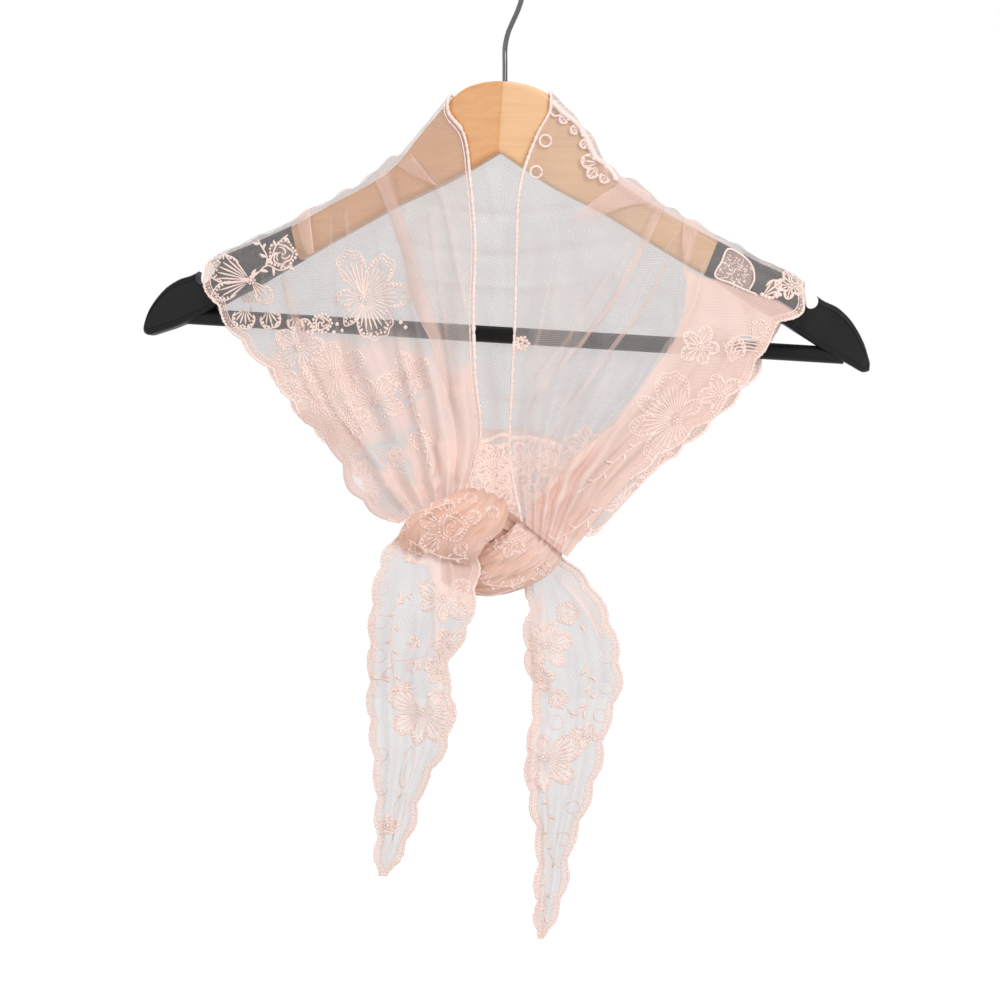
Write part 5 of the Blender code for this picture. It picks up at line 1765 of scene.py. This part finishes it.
wrapWork = (
    (sprig, (((-8, -338), (-3, -345), (4, -343), (9, -341)), 6, 5),
     (((-16, -352), (-8, -354), (0, -350)), 5, 5)),
    (flower, ((4, -352), 11, 20)),
    (petal, *(((x, z), turn, 9, 100) for x, z, turn in (
        (-8, -370, 220), (6, -371, 290), (20, -366, 330), (20, -352, 20), (-14, -360, 170)))),
    (sprig, (((-12, -378), (2, -379), (16, -374), (28, -364)), 7, 4)),
    (lumpyEdge, (((-20, -382), (-10, -384.5), (0, -382.5), (12, -378)), 1.6)),
)


def embroidered(cloth, name, work):
    # the mesh of a cloth's threads
    for motif, *rows in work:
        for values in rows:
            motif(cloth, *values)
    print("embroidered", name, "with", cloth["skein"]["count"], "points")
    return skeinMesh(name, cloth["skein"])


# each cloth, its work and its thread, the stretch that it is, its flat size and area, and what it rests on
hungSheets = (
    (leftCloth, leftWork, thread, "front_left", (0.24, 0.30), 0.042,
     ["yoke_left", "shoulder_cap_left"]),
    (rightCloth, rightWork, thread, "front_right", (0.24, 0.30), 0.040,
     ["yoke_right", "shoulder_cap_right"]),
    (backCloth, backWork, backThread, "back", (0.40, 0.29), 0.08, ["yoke_left", "yoke_right"]),
    (leftTailCloth, leftTailWork, thread, "tail_left", (0.07, 0.22), 0.0125, ["knot_over_turn"]),
    (rightTailCloth, rightTailWork, thread, "tail_right", (0.065, 0.25), 0.0125, ["knot_left_strand"]),
)
# each one's name, surface and stretch, its flat size, and what it rests on
foldedSheets = (
    ("front_left_border", borderSheet, "front_left_border_fold", (0.035, 0.11), "front_left"),
    ("front_right_lower_layer", underSheet, "front_right_turned_under", (0.06, 0.19), "front_right"),
)
strandWork = {"knot_over_turn": turnWork, "knot_right_strand": wrapWork}


def knotLook(name, rows):
    # the turn thins out where it opens into the hanging end; the right strand starts as pale as its front
    shares = np.linspace(0, 1, rows)
    thin = 1 - 0.55 * ease((shares - 0.86) / 0.14) if name == "knot_over_turn" else 1 + 0 * shares
    warm = 0.15 + 0.85 * ease((shares - 0.03) / 0.35) if name == "knot_right_strand" else 1 + 0 * shares
    return (0.93 * thin)[:, None], warm[:, None]


def buildGarment():
    for cloth, work, finish, solid, flat, area, rests in hungSheets:
        threads = embroidered(cloth, solid + "_embroidery", work)
        mesh = clothMesh(cloth["name"], finishedSheets(cloth))
        made = newObject(cloth["name"], mesh, cloth["finish"], solid)
        worked = newObject(solid + "_embroidery", threads, finish)
    for name, sheet, solid, flat, rests in foldedSheets:
        made = newObject(name, clothMesh(name, [sheet]), frontNet, solid)
    for name, strand in strands.items():
        grid = strand["grid"]
        sheets = [(grid, *knotLook(name, len(grid)), flatOf(grid, 0.12, 0.09))]
        made = newObject(name + "_cloth", clothMesh(name + "_cloth", sheets), knotNet, name)
        if name in strandWork:
            threads = embroidered(strand, name + "_embroidery", strandWork[name])
            newObject(name + "_embroidery", threads, knotThread)


buildGarment()
print("garment finished")


# floor, light and camera

studio = {
    "middle": (0, 0, -0.30),
    "floorDrop": 0.35,  # under the garment's lowest point
    "floorHalf": 9.0,
    "floorGlow": 0.97,
    "surround": 0.62,
}
# place, width, power and colour of each light
lights = {
    "key": ((1.0, -1.95, 0.55), 1.1, 26.0, (1.0, 0.985, 0.97)),
    "fill": ((-1.8, -1.5, 0.1), 1.6, 9.0, (1, 1, 1)),
    "top": ((0.2, 0.1, 1.5), 1.2, 10.0, (1, 1, 1)),
    "behind": ((-0.9, 1.9, 0.5), 1.4, 14.0, (1, 1, 1)),
}


def areaLight(name, place, size, power, colour):
    data = bpy.data.lights.new(name, "AREA")
    data.shape = "DISK"
    data.size = size
    data.energy = power
    data.color = colour
    made = bpy.data.objects.new(name, data)
    made.location = place
    made.rotation_euler = (Vector(studio["middle"]) - Vector(place)).to_track_quat("-Z", "Y").to_euler()
    bpy.context.scene.collection.objects.link(made)


def buildFloor(scene):
    shape = bmesh.new()
    bmesh.ops.create_grid(shape, x_segments=8, y_segments=8, size=studio["floorHalf"])
    floor = bpy.data.objects.new("floor", meshFrom("floor", shape))
    floor.location = (0, 0, cadLow.z - studio["floorDrop"])
    scene.collection.objects.link(floor)
    pale, tree, shader = newMaterial("paleFloor", Roughness=0.9, Emission_Color=(1, 1, 1, 1),
                                     Emission_Strength=studio["floorGlow"])
    cloudy = noise(tree, objectPlace(tree), 3.0, 2.0)
    feed(tree, shader, Base_Color=between(tree, cloudy, (0.05, 0.05, 0.05, 1), (0.07, 0.07, 0.07, 1)))
    floor.data.materials.append(pale)
    floor.visible_diffuse = False


def buildWorld(scene):
    # white behind everything, and a softer surround for the light
    scene.world = bpy.data.worlds.new("paleSurround")
    scene.world.use_nodes = True
    tree = scene.world.node_tree
    soft = tree.nodes["Background"]
    soft.inputs["Color"].default_value = (1, 1, 1, 1)
    soft.inputs["Strength"].default_value = studio["surround"]
    white = node(tree, "Background", None, Color=(1, 1, 1, 1), Strength=1.0)
    path = node(tree, "LightPath").outputs["Is Camera Ray"]
    both = node(tree, "MixShader", None, n0=path, n1=soft.outputs[0], n2=white.outputs[0])
    tree.links.new(both.outputs[0], tree.nodes["World Output"].inputs["Surface"])


def buildStudio():
    scene = bpy.context.scene
    scene.view_settings.view_transform = "Standard"
    buildFloor(scene)
    for name, values in lights.items():
        areaLight(name, *values)
    buildWorld(scene)
    camera = bpy.data.cameras.new("camera")
    camera.lens = viewpoint["lens"]
    camera.sensor_width = viewpoint["sensor"]
    holder = bpy.data.objects.new("camera", camera)
    holder.location = viewpoint["place"]
    holder.rotation_euler = (math.radians(90), 0, 0)
    scene.collection.objects.link(holder)
    scene.camera = holder


buildStudio()
print("scene ready")
